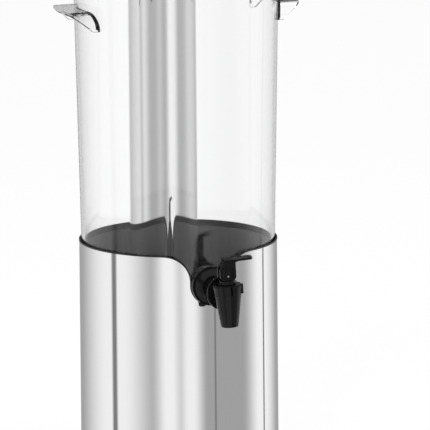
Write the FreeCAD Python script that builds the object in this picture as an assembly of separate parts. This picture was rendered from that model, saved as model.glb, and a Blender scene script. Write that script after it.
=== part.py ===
import FreeCAD, Part
import math
import os

# Countertop cold-drinks dispenser: a clear tank with a lever tap stands in a polished steel sleeve.
# Millimetres, +Z up. The origin is the middle of the base's underside, and the tap points to -Y.

Vec = FreeCAD.Vector
os.makedirs("parts", exist_ok=True)

# ---- sleeve: a drawn steel shell with an open-topped cut-out for the tap
SLEEVE_R = 103.5            # outer radius
SLEEVE_WALL = 0.8
SLEEVE_FOOT_Z = 1.5         # lower edge, above the table
SLEEVE_TOP_Z = 218.2
HEM_WIDTH = 6.0             # the lower edge is folded inwards by this much
SLOT_HALF = 21.0            # half the width of the cut-out
SHOULDER_R = 27.0           # rounding where the cut-out meets the top edge
TRIM_T = 1.2                # edge trim: thickness on the sheet's edge
TRIM_PROUD = 0.3            # how far it stands out over the sleeve
TRIM_LIP_T = 0.45           # its lip inside the sleeve
TRIM_LIP_DEPTH = 5.0

# ---- base: pad, plate, inner stand and the ring that the tank stands on
PAD_MARGIN = 4.5            # from the sleeve's folded edge
BASE_FIT = 0.1              # plate inside sleeve
BASE_T = 4.0
STAND_INSET = 16.2          # the stand's wall inwards of the tank's wall
STAND_WALL = 3.0
STAND_FLANGE = 12.0         # width of its foot flange, inwards
STAND_FLANGE_T = 6.0
STAND_TOP_T = 4.0
STAND_TOP_OUT = 7.0         # top flange, outwards of the wall
SEAT_RING_T = 3.0
SCREW_R = 1.6
SCREW_HEAD_R = 3.4
SCREW_HEAD_H = 2.0
SCREW_LENGTH = 9.0
SCREW_COUNT = 4
FIT = 0.05                  # screw shanks and other close round fits

# ---- tank
TANK_FIT = 1.5              # between tank and sleeve, at the sleeve's top edge
TANK_DRAFT = 0.0213         # growth of the outer radius per millimetre upwards
TANK_WALL = 3.5
TANK_FLOOR_Z = 158.0        # underside of the floor
TANK_FLOOR_T = 4.0
TANK_TOP_Z = 512.0
TANK_FOOT_H = 2.0           # ring under the floor
TANK_FOOT_WIDTH = 7.0
TANK_CORNER_R = 7.0
BEAD_OUT = 2.2              # rolled rim
BEAD_H = 6.0
BEAD_CHAMFER = 2.5
SPIGOT_H = 8.0              # ring on the floor that locates the ice tube
SPIGOT_WALL = 2.5

# ---- handles moulded to the tank, one each side
HANDLE_TOP_Z = 470.0
HANDLE_HALF = 42.6          # half the width of the arch
HANDLE_T = 3.5
HANDLE_CORNER_R = 17.0
HANDLE_LEG_H = 18.8
HANDLE_OUT = 21.5           # how far it stands out from the tank
HANDLE_PLAN_R = 9.0         # rounding of its outer corners, seen from above
HANDLE_FOOT_OUT = 5.8       # the same at the legs' lower ends
HANDLE_LIP_H = 3.8          # depth of the outer edge

# ---- tap: sizes from the crossing of the shank's and the spout's axes
TAP_Z = 188.0               # height of the shank's axis
TAP_REACH_OUT = 58.1        # from the boss to the spout's axis
TAP_LEAN = -3.0             # degrees that the tap is turned on its shank
BOSS_R = 19.0               # flat on the tank's wall
BOSS_PROUD = 3.2            # boss face, outside the tank's wall
BOSS_SUNK = 2.7             # its inner face, inside that wall
SHANK_THREAD_R = 8.0
SHANK_BORE_R = 5.5
SHANK_R = 9.3
SHANK_TAIL = 10.5           # thread beyond the inner washer
TAP_HOLE_R = 8.6
WASHER_R = 20.8
WASHER_T = 2.8
INNER_WASHER_R = 17.0
INNER_WASHER_T = 2.4
NUT_R = 15.5                # across the nut's corners, halved
NUT_T = 8.0
FLANGE_R = 20.8
FLANGE_T = 2.4
STEP_R = 18.6
STEP_T = 1.7
HUB_R = 12.0
HUB_CONE_T = 3.4
HUB_T = 2.4
REAR_DISC_R = 18.2
REAR_DISC_T = 2.8
REAR_DISC_BACK = 16.2       # its back face, from the spout's axis
SPOUT_TOP_R = 15.4
SPOUT_TOP_Z = 10.8
SPOUT_END_R = 9.3
SPOUT_END_Z = -33.0
CHAMBER_R = 12.6
SEAT_Z = -12.0
OUTLET_R = 6.5
KEY_ANGLES = (-18.5, -108.5)    # where the bonnet's two keys sit in the body's notches
KEY_WIDTH = 7.0
KEY_DEPTH = 8.9
KEY_R = 16.3
KEY_GAP = 0.3
KEY_PLAY = 1.5              # gap on the side to which a key turns
BONNET_R = 14.6
BONNET_T = 1.2
BONNET_PLUG_H = 4.4
BONNET_PLUG_GAP = 0.15
SWIVEL_R = 9.3
SWIVEL_BASE_T = 1.6
SWIVEL_NECK_R = 8.3
SWIVEL_H = 4.0
STEM_R = 2.4
STEM_GAP = 0.08             # running clearance of the stem in bonnet and swivel ring
STEM_FLANGE_R = 4.2
STEM_FLANGE_T = 1.5
PIN_R = 1.0
CUP_R = 8.6
CUP_H = 6.0
CUP_CLEAR = 0.05            # under the cup, so that it turns freely on the seat
SPRING_R = 5.6              # to the middle of the wire
SPRING_WIRE_R = 0.5
SPRING_TURNS = 4.0

# ---- lever
CAM_R = 4.5                 # rounded corners of the cheeks, on which the lever rolls
CAM_GAP = 0.1
CHEEK_HALF = 8.6
CHEEK_T = 2.7
CHEEK_GAP = 0.3             # between stem and cheek
CHEEK_H = 15.0              # up to the solid head
HEAD_H = 4.7
HEAD_SLANT = 7.0            # height over which the head's back edge slants in to the bar
PANEL_DEPTH = 0.6           # recess in each cheek's outer face
PANEL_HALF = 4.4
BAR_BACK = 3.5              # bar behind the stem's axis
BAR_REACH = 28.0            # bar's end from the stem's axis
BAR_END_R = 3.5             # rounding of its free corners
BAR_HALF = 5.0
BAR_T = 3.1
RIB_HALF = 1.6              # rib under the bar, beside the head
RIB_DROP = 2.2
RIB_RUN = 7.0

# ---- ice tube and its cap
TUBE_R = 36.0
TUBE_WALL = 0.8
TUBE_BACK = 47.0            # the tube's axis behind the tank's axis
TUBE_FLOAT = 0.5            # under the tube's bumper
TUBE_FLANGE_OUT = 6.0
TUBE_FLANGE_T = 1.2
BUMPER_T = 2.0
BUMPER_WALL = 1.6           # the tube's lower end is necked in by this much for the bumper
BUMPER_H = 6.0
SPIGOT_GAP = 0.5
CAP_DISC_T = 4.0
CAP_PLUG_H = 12.0
CAP_PLUG_GAP = 0.9
CAP_GRIP_L = 44.0
CAP_GRIP_T = 9.0
CAP_GRIP_H = 15.0
CAP_SEAL_R = 1.0            # its cross-section
CAP_SEAL_GAP = 0.3

# ---- lid
LID_GAP = 0.3               # between its skirt and the tank's rim
LID_T = 1.0
LID_SKIRT_H = 13.0
LID_CORNER_R = 3.0
LID_RISE = 3.0              # raised middle panel
LID_PANEL_MARGIN = 19.0     # from the lid's edge to that panel
LID_SEAL_T = 3.0
LID_SEAL_H = 10.0
LID_SEAL_GAP = 0.4
COLLAR_WALL = 6.0
COLLAR_LIP_T = 2.5          # above the lid
COLLAR_NECK_H = 7.0
COLLAR_NECK_WALL = 1.6
COLLAR_GAP = 0.5
KNOB_FRONT = 46.0           # knob's axis in front of the tank's axis
KNOB_R = 16.0
KNOB_NECK_R = 8.0
KNOB_NECK_H = 6.0
KNOB_H = 22.0
KNOB_ROUND = 5.0
KNOB_SCREW_R = 2.0
KNOB_SCREW_L = 12.0
KNOB_WASHER_R = 6.0
KNOB_WASHER_T = 1.0

# ---- drip tray, its grid and the bracket that holds it to the sleeve
TRAY_HALF = 62.0            # half the width
TRAY_DEPTH = 94.0           # front to back
TRAY_GAP = 1.5              # behind it, to the bracket
TRAY_FLOOR_Z = 3.2
TRAY_TOP_Z = 12.0
TRAY_WALL = 1.2
TRAY_CORNER_R = 30.0
TRAY_FOOT_R = 6.0
TRAY_FOOT_INSET = 16.0      # feet, from the tray's sides
GRID_T = 1.2
GRID_BELOW = 0.8            # grid's top under the tray's edge
GRID_GAP = 0.4
GRID_SKIRT_T = 1.2
GRID_MARGIN = 13.0
SLIT_WIDTH = 5.0
SLIT_PITCH = 10.0
SLIT_ROWS = 7
SLIT_COLUMNS = 3
SLIT_BRIDGE = 8.0
BRACKET_HALF = 13.0
BRACKET_T = 1.2
BRACKET_TOP_Z = 31.3
TONGUE_Z = 1.4
TONGUE_REACH = 66.0
RIVET_R = 2.4
RIVET_HEAD_T = 1.0
RIVET_SPREAD = 14.0
RIVET_Z = 18.0

# ---- worked out from the above
SLEEVE_IN_R = SLEEVE_R - SLEEVE_WALL
PAD_R = SLEEVE_R - HEM_WIDTH - PAD_MARGIN
TANK_R = SLEEVE_IN_R - TANK_FIT
STAND_R = TANK_R - STAND_INSET
BOSS_OUT = TANK_R + BOSS_PROUD
BOSS_IN = TANK_R - TANK_WALL - BOSS_SUNK
TAP_REACH = BOSS_OUT + TAP_REACH_OUT
HEM_TOP_Z = SLEEVE_FOOT_Z + SLEEVE_WALL
BASE_TOP_Z = HEM_TOP_Z + BASE_T
TANK_STAND_Z = TANK_FLOOR_Z - TANK_FOOT_H
SEAT_Z0 = TANK_STAND_Z - SEAT_RING_T
TANK_FLOOR_IN_Z = TANK_FLOOR_Z + TANK_FLOOR_T
TANK_FOOT_R = STAND_R + 2.0
WASHER_OUT = BOSS_OUT + WASHER_T
NUT_OUT = BOSS_IN - INNER_WASHER_T
SHANK_END = NUT_OUT - SHANK_TAIL
BONNET_TOP = SPOUT_TOP_Z + BONNET_T
SWIVEL_TOP = BONNET_TOP + SWIVEL_H
CHEEK_Z = SWIVEL_TOP + CAM_GAP
PIN_Z = CHEEK_Z + CAM_R
CHEEK_IN = STEM_R + CHEEK_GAP
CHEEK_OUT = CHEEK_IN + CHEEK_T
HEAD_Z = CHEEK_Z + CHEEK_H
BAR_Z = HEAD_Z + HEAD_H
CUP_TOP_Z = SEAT_Z + CUP_H
LID_R = TANK_R + TANK_DRAFT * (TANK_TOP_Z - SLEEVE_TOP_Z) + BEAD_OUT + LID_GAP + LID_T
LID_PANEL_R = LID_R - LID_PANEL_MARGIN
LID_TOP_Z = TANK_TOP_Z + LID_T
PANEL_TOP_Z = LID_TOP_Z + LID_RISE
COLLAR_TOP_Z = PANEL_TOP_Z + COLLAR_LIP_T
TUBE_TOP_Z = COLLAR_TOP_Z + TUBE_FLANGE_T
TUBE_END_Z = TANK_FLOOR_IN_Z + TUBE_FLOAT + BUMPER_T
COLLAR_BORE_R = TUBE_R + COLLAR_GAP
COLLAR_NECK_R = COLLAR_BORE_R + COLLAR_NECK_WALL
BRACKET_OUT = SLEEVE_R + BRACKET_T
TRAY_BACK = BRACKET_OUT + TRAY_GAP
TRAY_MIDDLE = TRAY_BACK + TRAY_DEPTH / 2
GRID_TOP_Z = TRAY_TOP_Z - GRID_BELOW


def tank_radius(z):
    """Outer radius of the tank's wall at height z."""
    return TANK_R + TANK_DRAFT * (z - SLEEVE_TOP_Z)


def save(name, shape):
    """Writes one piece."""
    shape.exportStep("parts/" + name + ".step")


def disc(radius, low, high, x=0.0, y=0.0):
    return Part.makeCylinder(radius, high - low, Vec(x, y, low))


def ring(inner, outer, low, high, x=0.0, y=0.0):
    return disc(outer, low, high, x, y).cut(disc(inner, low, high, x, y))


def block(x0, x1, y0, y1, z0, z1):
    return Part.makeBox(x1 - x0, y1 - y0, z1 - z0, Vec(x0, y0, z0))


def wire(steps, place):
    """A closed outline. A step is a point (a, b), or ((a, b), (a, b)): an arc's middle and end."""
    edges = []
    first = last = place(*steps[0])
    for step in steps[1:]:
        if isinstance(step[0], tuple):
            middle, end = place(*step[0]), place(*step[1])
            edges.append(Part.Arc(last, middle, end).toShape())
        else:
            end = place(*step)
            edges.append(Part.makeLine(last, end))
        last = end
    if last.distanceToPoint(first) > 1e-7:
        edges.append(Part.makeLine(last, first))
    return Part.Wire(edges)


def turned(steps, x=0.0, y=0.0):
    """A solid turned about a vertical axis at (x, y), from an outline in radius and height."""
    face = Part.Face(wire(steps, lambda r, z: Vec(x + r, y, z)))
    return face.revolve(Vec(x, y, 0), Vec(0, 0, 1), 360)


def slab(steps, place, sweep):
    """An outline made solid along the vector sweep."""
    return Part.Face(wire(steps, place)).extrude(sweep)


def quarter(centre, radius, start, end):
    """Middle and end of a quarter arc, from its centre and the angles of its ends in degrees."""
    def at(angle):
        turn = math.radians(angle)
        return (centre[0] + radius * math.cos(turn), centre[1] + radius * math.sin(turn))
    return (at((start + end) / 2), at(end))


def rounded_plate(half, back, front, radius, low, high):
    """A plate with rounded corners, half wide each way in X, from Y=-back to Y=-front."""
    x, r = half, radius
    steps = [(-x, -front + r), (-x, -back - r), quarter((-x + r, -back - r), r, 180, 90),
             (x - r, -back), quarter((x - r, -back - r), r, 90, 0),
             (x, -front + r), quarter((x - r, -front + r), r, 0, -90),
             (-x + r, -front), quarter((-x + r, -front + r), r, -90, -180)]
    return slab(steps, lambda a, b: Vec(a, b, low), Vec(0, 0, high - low))


def around(count, radius, start=45.0):
    """Places on a circle."""
    for i in range(count):
        turn = math.radians(start + 360.0 * i / count)
        yield radius * math.cos(turn), radius * math.sin(turn)


# ---- sleeve and trim

def above_edge(grow):
    """All that lies above the sleeve's top edge and in its cut-out, the edge moved by grow."""
    half, radius, top = SLOT_HALF - grow, SHOULDER_R + grow, SLEEVE_TOP_Z + grow
    side, sky = SLOT_HALF + SHOULDER_R, SLEEVE_TOP_Z + 40.0
    bend = SLEEVE_TOP_Z - SHOULDER_R
    steps = [(-half, TAP_Z), quarter((0.0, TAP_Z), half, 180, 360), (half, bend),
             quarter((side, bend), radius, 180, 90), (side, sky), (-side, sky), (-side, top),
             quarter((-side, bend), radius, 90, 0)]
    front = slab(steps, lambda x, z: Vec(x, -2 * SLEEVE_R, z), Vec(0, 2 * SLEEVE_R, 0))
    wide = 2 * SLEEVE_R
    return front.fuse(block(-wide, wide, -wide, wide, top, sky))


def edged(inner, outer, grow):
    """A round shell that ends at the sleeve's top edge, the edge moved by grow."""
    return ring(inner, outer, SLEEVE_FOOT_Z, SLEEVE_TOP_Z + 20.0).cut(above_edge(grow))


def make_sleeve():
    shell = edged(SLEEVE_IN_R, SLEEVE_R, 0.0)
    hem = ring(SLEEVE_R - HEM_WIDTH, SLEEVE_R, SLEEVE_FOOT_Z, HEM_TOP_Z)
    holes = Part.Compound([rivet_shank(x, RIVET_R / 2 + FIT) for x in (-RIVET_SPREAD / 2, RIVET_SPREAD / 2)])
    return shell.fuse(hem).removeSplitter().cut(holes)


def make_rim_trim():
    lip_in, out = SLEEVE_IN_R - TRIM_LIP_T, SLEEVE_R + TRIM_PROUD
    band = edged(lip_in, out, TRIM_T).cut(edged(lip_in, out, 0.0))
    lip = edged(lip_in, SLEEVE_IN_R, 0.0).cut(edged(lip_in, SLEEVE_IN_R, -TRIM_LIP_DEPTH))
    return band.fuse(lip).removeSplitter()


# ---- base

def screw_places():
    return around(SCREW_COUNT, STAND_R - STAND_WALL - STAND_FLANGE / 2)


def make_base_plate():
    plate = disc(SLEEVE_IN_R - BASE_FIT, HEM_TOP_Z, BASE_TOP_Z)
    for x, y in screw_places():
        plate = plate.cut(disc(SCREW_R + FIT, HEM_TOP_Z, BASE_TOP_Z, x, y))
        plate = plate.cut(disc(SCREW_HEAD_R + FIT, HEM_TOP_Z, HEM_TOP_Z + SCREW_HEAD_H, x, y))
    return plate


def make_tank_stand():
    wall_in = STAND_R - STAND_WALL
    foot_in = wall_in - STAND_FLANGE
    top_out = STAND_R + STAND_TOP_OUT
    stand = turned([(foot_in, BASE_TOP_Z), (STAND_R, BASE_TOP_Z), (STAND_R, SEAT_Z0 - STAND_TOP_T),
                    (top_out, SEAT_Z0 - STAND_TOP_T), (top_out, SEAT_Z0), (wall_in, SEAT_Z0),
                    (wall_in, BASE_TOP_Z + STAND_FLANGE_T), (foot_in, BASE_TOP_Z + STAND_FLANGE_T)])
    screw_top = HEM_TOP_Z + SCREW_LENGTH
    for x, y in screw_places():
        stand = stand.cut(disc(SCREW_R + FIT, BASE_TOP_Z, screw_top + FIT, x, y))
    return stand


def make_stand_screws():
    screws = []
    for x, y in screw_places():
        head = disc(SCREW_HEAD_R, HEM_TOP_Z, HEM_TOP_Z + SCREW_HEAD_H, x, y)
        screws.append(head.fuse(disc(SCREW_R, HEM_TOP_Z, HEM_TOP_Z + SCREW_LENGTH, x, y)).removeSplitter())
    return Part.Compound(screws)


def make_seat_ring():
    return ring(STAND_R - STAND_WALL, STAND_R + STAND_TOP_OUT, SEAT_Z0, TANK_STAND_Z)


# ---- tank and handles

def make_tank():
    low, floor, top = TANK_FLOOR_Z, TANK_FLOOR_IN_Z, TANK_TOP_Z
    corner, corner_in = TANK_CORNER_R, TANK_CORNER_R - TANK_WALL
    out_low, in_low = tank_radius(low + corner), tank_radius(floor + corner_in) - TANK_WALL
    bead = tank_radius(top) + BEAD_OUT
    foot_in = TANK_FOOT_R - TANK_FOOT_WIDTH
    shell = turned([
        (0, low), (foot_in, low), (foot_in, TANK_STAND_Z), (TANK_FOOT_R, TANK_STAND_Z),
        (TANK_FOOT_R, low), (out_low - corner, low),
        quarter((out_low - corner, low + corner), corner, 270, 360),
        (tank_radius(top - BEAD_H), top - BEAD_H), (bead, top - BEAD_H + BEAD_OUT),
        (bead, top - BEAD_CHAMFER), (bead - BEAD_CHAMFER, top), (tank_radius(top) - TANK_WALL, top),
        (in_low, floor + corner_in), quarter((in_low - corner_in, floor + corner_in), corner_in, 360, 270),
        (0, floor)])
    boss = Part.makeCylinder(BOSS_R, BOSS_OUT - BOSS_IN, Vec(0, -BOSS_OUT, TAP_Z), Vec(0, 1, 0))
    hole = Part.makeCylinder(TAP_HOLE_R, BOSS_OUT, Vec(0, -BOSS_OUT, TAP_Z), Vec(0, 1, 0))
    spigot_in = TUBE_R + SPIGOT_GAP
    spigot = ring(spigot_in, spigot_in + SPIGOT_WALL, floor, floor + SPIGOT_H, 0, TUBE_BACK)
    return shell.fuse([boss, spigot]).removeSplitter().cut(hole)


def make_handle(side):
    """side is -1 for the left handle and 1 for the right one."""
    top, leg = HANDLE_TOP_Z, HANDLE_TOP_Z - HANDLE_LEG_H
    w, r, t = HANDLE_HALF, HANDLE_CORNER_R, HANDLE_T
    wall = tank_radius(top)
    reach = wall + HANDLE_OUT
    arch = slab([
        (-w, leg), (-w, top - r), quarter((-w + r, top - r), r, 180, 90),
        (w - r, top), quarter((w - r, top - r), r, 90, 0), (w, leg), (w - t, leg),
        (w - t, top - r), quarter((w - r, top - r), r - t, 0, 90),
        (-w + r, top - t), quarter((-w + r, top - r), r - t, 90, 180), (-w + t, leg)],
        lambda y, z: Vec(wall / 2, y, z), Vec(reach, 0, 0))
    p = HANDLE_PLAN_R
    x = math.sqrt((reach - p) ** 2 - (w - p) ** 2)
    turn = math.degrees(math.atan2(w - p, x))
    front = quarter((x, p - w), p, -90, -turn)
    steps = [(0, -w), (x, -w), front, ((reach, 0), quarter((0, 0), reach, 0, turn)[1]),
             quarter((x, w - p), p, turn, 90), (0, w)]
    limit = slab(steps, lambda a, b: Vec(a, b, leg - 1), Vec(0, 0, HANDLE_LEG_H + 2))
    below = turned([(0, leg), (wall + HANDLE_FOOT_OUT, leg), (reach, top - HANDLE_LIP_H), (reach, top + 1),
                    (0, top + 1)])
    low, high = TANK_FLOOR_Z + TANK_CORNER_R, TANK_TOP_Z
    wall_solid = Part.makeCone(tank_radius(low), tank_radius(high), high - low, Vec(0, 0, low))
    handle = arch.common(limit).common(below).cut(wall_solid)
    if side < 0:
        handle = handle.mirror(Vec(0, 0, 0), Vec(1, 0, 0))
    return handle


# ---- tap. Its pieces are made upright about the crossing of its axes, and then set in place.

def set_in_place(piece):
    piece = piece.copy()
    piece.rotate(Vec(0, 0, 0), Vec(0, 1, 0), TAP_LEAN)
    piece.translate(Vec(0, -TAP_REACH, TAP_Z))
    return piece


def back(distance):
    """A distance from the tank's axis, as Y from the spout's axis."""
    return TAP_REACH - distance


def turned_on_shank(steps):
    """A solid turned about the shank's axis, from an outline in Y and radius."""
    face = Part.Face(wire(steps, lambda y, r: Vec(0, y, r)))
    return face.revolve(Vec(0, 0, 0), Vec(0, 1, 0), 360)


def key_block(angle, side, other, reach, low, high):
    key = block(CHAMBER_R - 2.0, reach, -side, other, low, high)
    key.rotate(Vec(0, 0, 0), Vec(0, 0, 1), angle)
    return key


def make_tap_body():
    flange_back = back(WASHER_OUT)
    step_back = flange_back - FLANGE_T
    cone_back = step_back - STEP_T
    hub_back = cone_back - HUB_CONE_T
    hub_front = hub_back - HUB_T
    disc_back, disc_front = REAR_DISC_BACK, REAR_DISC_BACK - REAR_DISC_T
    rib = disc_back + 6.0
    shank = turned_on_shank([
        (0, 0), (0, SHANK_R), (disc_front, SHANK_R), (disc_front, REAR_DISC_R),
        (disc_back - 1.0, REAR_DISC_R), (disc_back, REAR_DISC_R - 1.6), (disc_back, SHANK_R + 1.0),
        (rib, SHANK_R + 1.0), (rib, SHANK_R),
        (hub_front, SHANK_R), (hub_front, HUB_R), (hub_back, HUB_R), (cone_back, STEP_R - 2.0),
        (cone_back, STEP_R), (step_back, STEP_R), (step_back, FLANGE_R - 0.8), (step_back + 0.8, FLANGE_R),
        (flange_back, FLANGE_R), (flange_back, SHANK_THREAD_R), (back(SHANK_END), SHANK_THREAD_R),
        (back(SHANK_END), 0)])
    spout = turned([(0, SPOUT_END_Z), (SPOUT_END_R - 1.0, SPOUT_END_Z), (SPOUT_END_R, SPOUT_END_Z + 1.2),
                    (SPOUT_TOP_R, SPOUT_TOP_Z), (0, SPOUT_TOP_Z)])
    chamber = turned([(0, SPOUT_END_Z), (OUTLET_R + 0.8, SPOUT_END_Z), (OUTLET_R, SPOUT_END_Z + 8.0),
                      (OUTLET_R, SEAT_Z), (CHAMBER_R - 1.6, SEAT_Z), (CHAMBER_R, SHANK_BORE_R - 1.0),
                      (CHAMBER_R, SPOUT_TOP_Z), (0, SPOUT_TOP_Z)])
    bore = Part.makeCylinder(SHANK_BORE_R, back(SHANK_END), Vec(0, 0, 0), Vec(0, 1, 0))
    body = shank.fuse(spout).removeSplitter().cut(chamber.fuse(bore))
    near, far = KEY_WIDTH / 2 + KEY_GAP, KEY_WIDTH / 2 + KEY_PLAY
    for angle in KEY_ANGLES:
        notch_low = SPOUT_TOP_Z - KEY_DEPTH - KEY_GAP
        body = body.cut(key_block(angle, near, far, KEY_R + 2.0, notch_low, SPOUT_TOP_Z))
    return body


def make_tap_bonnet():
    plug_r = CHAMBER_R - BONNET_PLUG_GAP
    plug_low = SPOUT_TOP_Z - BONNET_PLUG_H
    bonnet = turned([(0, plug_low), (plug_r, plug_low), (plug_r, SPOUT_TOP_Z), (BONNET_R, SPOUT_TOP_Z),
                     (BONNET_R, BONNET_TOP - 0.6), (BONNET_R - 0.6, BONNET_TOP), (0, BONNET_TOP)])
    for angle in KEY_ANGLES:
        half = KEY_WIDTH / 2
        key = key_block(angle, half, half, KEY_R, SPOUT_TOP_Z - KEY_DEPTH, BONNET_TOP - 0.8)
        inner = disc(plug_r - 1.5, SPOUT_TOP_Z - KEY_DEPTH, plug_low)
        bonnet = bonnet.fuse(key.cut(inner))
    bonnet = bonnet.removeSplitter().cut(disc(STEM_R + STEM_GAP, plug_low, BONNET_TOP))
    flat = REAR_DISC_BACK - REAR_DISC_T - BONNET_PLUG_GAP
    return bonnet.cut(block(-2 * BONNET_R, 2 * BONNET_R, flat, 2 * BONNET_R, SPOUT_TOP_Z, BONNET_TOP))


def make_swivel_ring():
    bore = STEM_R + STEM_GAP
    return turned([(bore, BONNET_TOP), (SWIVEL_R, BONNET_TOP), (SWIVEL_R, BONNET_TOP + SWIVEL_BASE_T),
                   (SWIVEL_NECK_R, BONNET_TOP + SWIVEL_BASE_T + 0.8), (SWIVEL_NECK_R, SWIVEL_TOP),
                   (bore, SWIVEL_TOP)])


def pin_hole(radius, length):
    return Part.makeCylinder(radius, length, Vec(0, -length / 2, PIN_Z), Vec(0, 1, 0))


def make_valve_stem():
    shank = disc(STEM_R, CUP_TOP_Z - STEM_FLANGE_T, PIN_Z + STEM_R)
    flange = disc(STEM_FLANGE_R, CUP_TOP_Z - 2 * STEM_FLANGE_T, CUP_TOP_Z - STEM_FLANGE_T)
    return shank.fuse(flange).removeSplitter().cut(pin_hole(PIN_R, 2 * CHEEK_OUT))


def make_lever_pin():
    return pin_hole(PIN_R, 2 * CHEEK_OUT)


def make_seat_cup():
    pocket_low, pocket_top = CUP_TOP_Z - 2 * STEM_FLANGE_T, CUP_TOP_Z - STEM_FLANGE_T
    low = SEAT_Z + CUP_CLEAR
    return turned([(0, low), (CUP_R, low), (CUP_R, low + 1.4), (STEM_FLANGE_R + 2.6, CUP_TOP_Z),
                   (STEM_R, CUP_TOP_Z), (STEM_R, pocket_top), (STEM_FLANGE_R, pocket_top),
                   (STEM_FLANGE_R, pocket_low), (0, pocket_low)])


def make_return_spring():
    low = CUP_TOP_Z + SPRING_WIRE_R
    high = SPOUT_TOP_Z - BONNET_PLUG_H - SPRING_WIRE_R
    coil = Part.makeHelix((high - low) / SPRING_TURNS, high - low, SPRING_R)
    section = Part.Wire(Part.makeCircle(SPRING_WIRE_R, Vec(SPRING_R, 0, 0), Vec(0, 1, 0)))
    spring = Part.Wire(coil).makePipeShell([section], True, True)
    spring.translate(Vec(0, 0, low))
    return spring


def make_tap_lever():
    w, r, low = CHEEK_HALF, CAM_R, CHEEK_Z
    outline = [(-w, BAR_Z - HEAD_SLANT), (-w, low + r), quarter((-w + r, low + r), r, 180, 270),
               (w - r, low), quarter((w - r, low + r), r, 270, 360), (w, BAR_Z), (-BAR_BACK, BAR_Z)]
    cheeks = slab(outline, lambda x, z: Vec(x, -CHEEK_OUT, z), Vec(0, 2 * CHEEK_OUT, 0))
    lever = cheeks.cut(block(-2 * w, 2 * w, -CHEEK_IN, CHEEK_IN, low - 1, HEAD_Z))
    bar_top = BAR_Z + BAR_T
    end, side = BAR_REACH - BAR_END_R, BAR_HALF - BAR_END_R
    bar = slab([(-BAR_BACK, -BAR_HALF), (end, -BAR_HALF), quarter((end, -side), BAR_END_R, -90, 0),
                (BAR_REACH, side), quarter((end, side), BAR_END_R, 0, 90), (-BAR_BACK, BAR_HALF)],
               lambda x, y: Vec(x, y, BAR_Z), Vec(0, 0, bar_top - BAR_Z))
    rib = slab([(0, BAR_Z), (w, BAR_Z - RIB_DROP), (w + RIB_RUN, BAR_Z)],
               lambda x, z: Vec(x, -RIB_HALF, z), Vec(0, 2 * RIB_HALF, 0))
    lever = lever.fuse([bar, rib]).removeSplitter()
    panel_low, panel_high = PIN_Z + 2 * PIN_R, HEAD_Z
    for y0, y1 in ((-CHEEK_OUT, PANEL_DEPTH - CHEEK_OUT), (CHEEK_OUT - PANEL_DEPTH, CHEEK_OUT)):
        lever = lever.cut(block(-PANEL_HALF, PANEL_HALF, y0, y1, panel_low, panel_high))
    return lever.cut(pin_hole(PIN_R + FIT, 3 * CHEEK_OUT))


def shank_ring(inner, outer, near, far):
    """A flat ring round the shank, between two distances from the tank's axis."""
    length = far - near
    tube = Part.makeCylinder(outer, length, Vec(0, back(far), 0), Vec(0, 1, 0))
    return tube.cut(Part.makeCylinder(inner, length, Vec(0, back(far), 0), Vec(0, 1, 0)))


def make_tap_nut():
    turns = [math.radians(60 * i) for i in range(6)]
    corners = [(NUT_R * math.cos(a), NUT_R * math.sin(a)) for a in turns]
    nut = slab(corners, lambda x, z: Vec(x, back(NUT_OUT), z), Vec(0, NUT_T, 0))
    return nut.cut(Part.makeCylinder(SHANK_THREAD_R + FIT, NUT_T, Vec(0, back(NUT_OUT), 0), Vec(0, 1, 0)))


# ---- ice tube, bumper and cap

def make_ice_tube():
    inner, flange = TUBE_R - TUBE_WALL, TUBE_R + TUBE_FLANGE_OUT
    neck, low, bend = TUBE_R - BUMPER_WALL, TUBE_END_Z, TUBE_END_Z + BUMPER_H
    return turned([(0, low), (neck, low), (neck, bend), (TUBE_R, bend + BUMPER_WALL),
                   (TUBE_R, COLLAR_TOP_Z), (flange, COLLAR_TOP_Z), (flange, TUBE_TOP_Z), (inner, TUBE_TOP_Z),
                   (inner, bend + BUMPER_WALL + TUBE_WALL / 2), (neck - TUBE_WALL, bend + TUBE_WALL / 2),
                   (neck - TUBE_WALL, low + TUBE_WALL), (0, low + TUBE_WALL)], 0, TUBE_BACK)


def make_tube_bumper():
    neck, low, high = TUBE_R - BUMPER_WALL, TUBE_END_Z - BUMPER_T, TUBE_END_Z + BUMPER_H
    return turned([(0, low), (TUBE_R - 1.0, low), (TUBE_R, low + 1.0), (TUBE_R, high),
                   (neck, high), (neck, TUBE_END_Z), (0, TUBE_END_Z)], 0, TUBE_BACK)


def make_tube_cap():
    plug = TUBE_R - TUBE_WALL - CAP_PLUG_GAP
    disc_r = TUBE_R + TUBE_FLANGE_OUT
    low, top = TUBE_TOP_Z - CAP_PLUG_H, TUBE_TOP_Z + CAP_DISC_T
    groove = (low + TUBE_TOP_Z) / 2
    cap = turned([(0, TUBE_TOP_Z), (plug - 3.0, TUBE_TOP_Z), (plug - 3.0, low), (plug, low),
                  (plug, groove - CAP_SEAL_R), (plug - CAP_SEAL_R, groove - CAP_SEAL_R),
                  (plug - CAP_SEAL_R, groove + CAP_SEAL_R), (plug, groove + CAP_SEAL_R),
                  (plug, TUBE_TOP_Z), (disc_r, TUBE_TOP_Z), (disc_r, top - 1.5), (disc_r - 1.5, top),
                  (0, top)], 0, TUBE_BACK)
    half, r = CAP_GRIP_L / 2, CAP_GRIP_T
    grip = slab([(-half, top), (-half, top + CAP_GRIP_H - r),
                 quarter((-half + r, top + CAP_GRIP_H - r), r, 180, 90), (half - r, top + CAP_GRIP_H),
                 quarter((half - r, top + CAP_GRIP_H - r), r, 90, 0), (half, top)],
                lambda x, z: Vec(x, TUBE_BACK - CAP_GRIP_T / 2, z), Vec(0, CAP_GRIP_T, 0))
    return cap.fuse(grip).removeSplitter()


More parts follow.
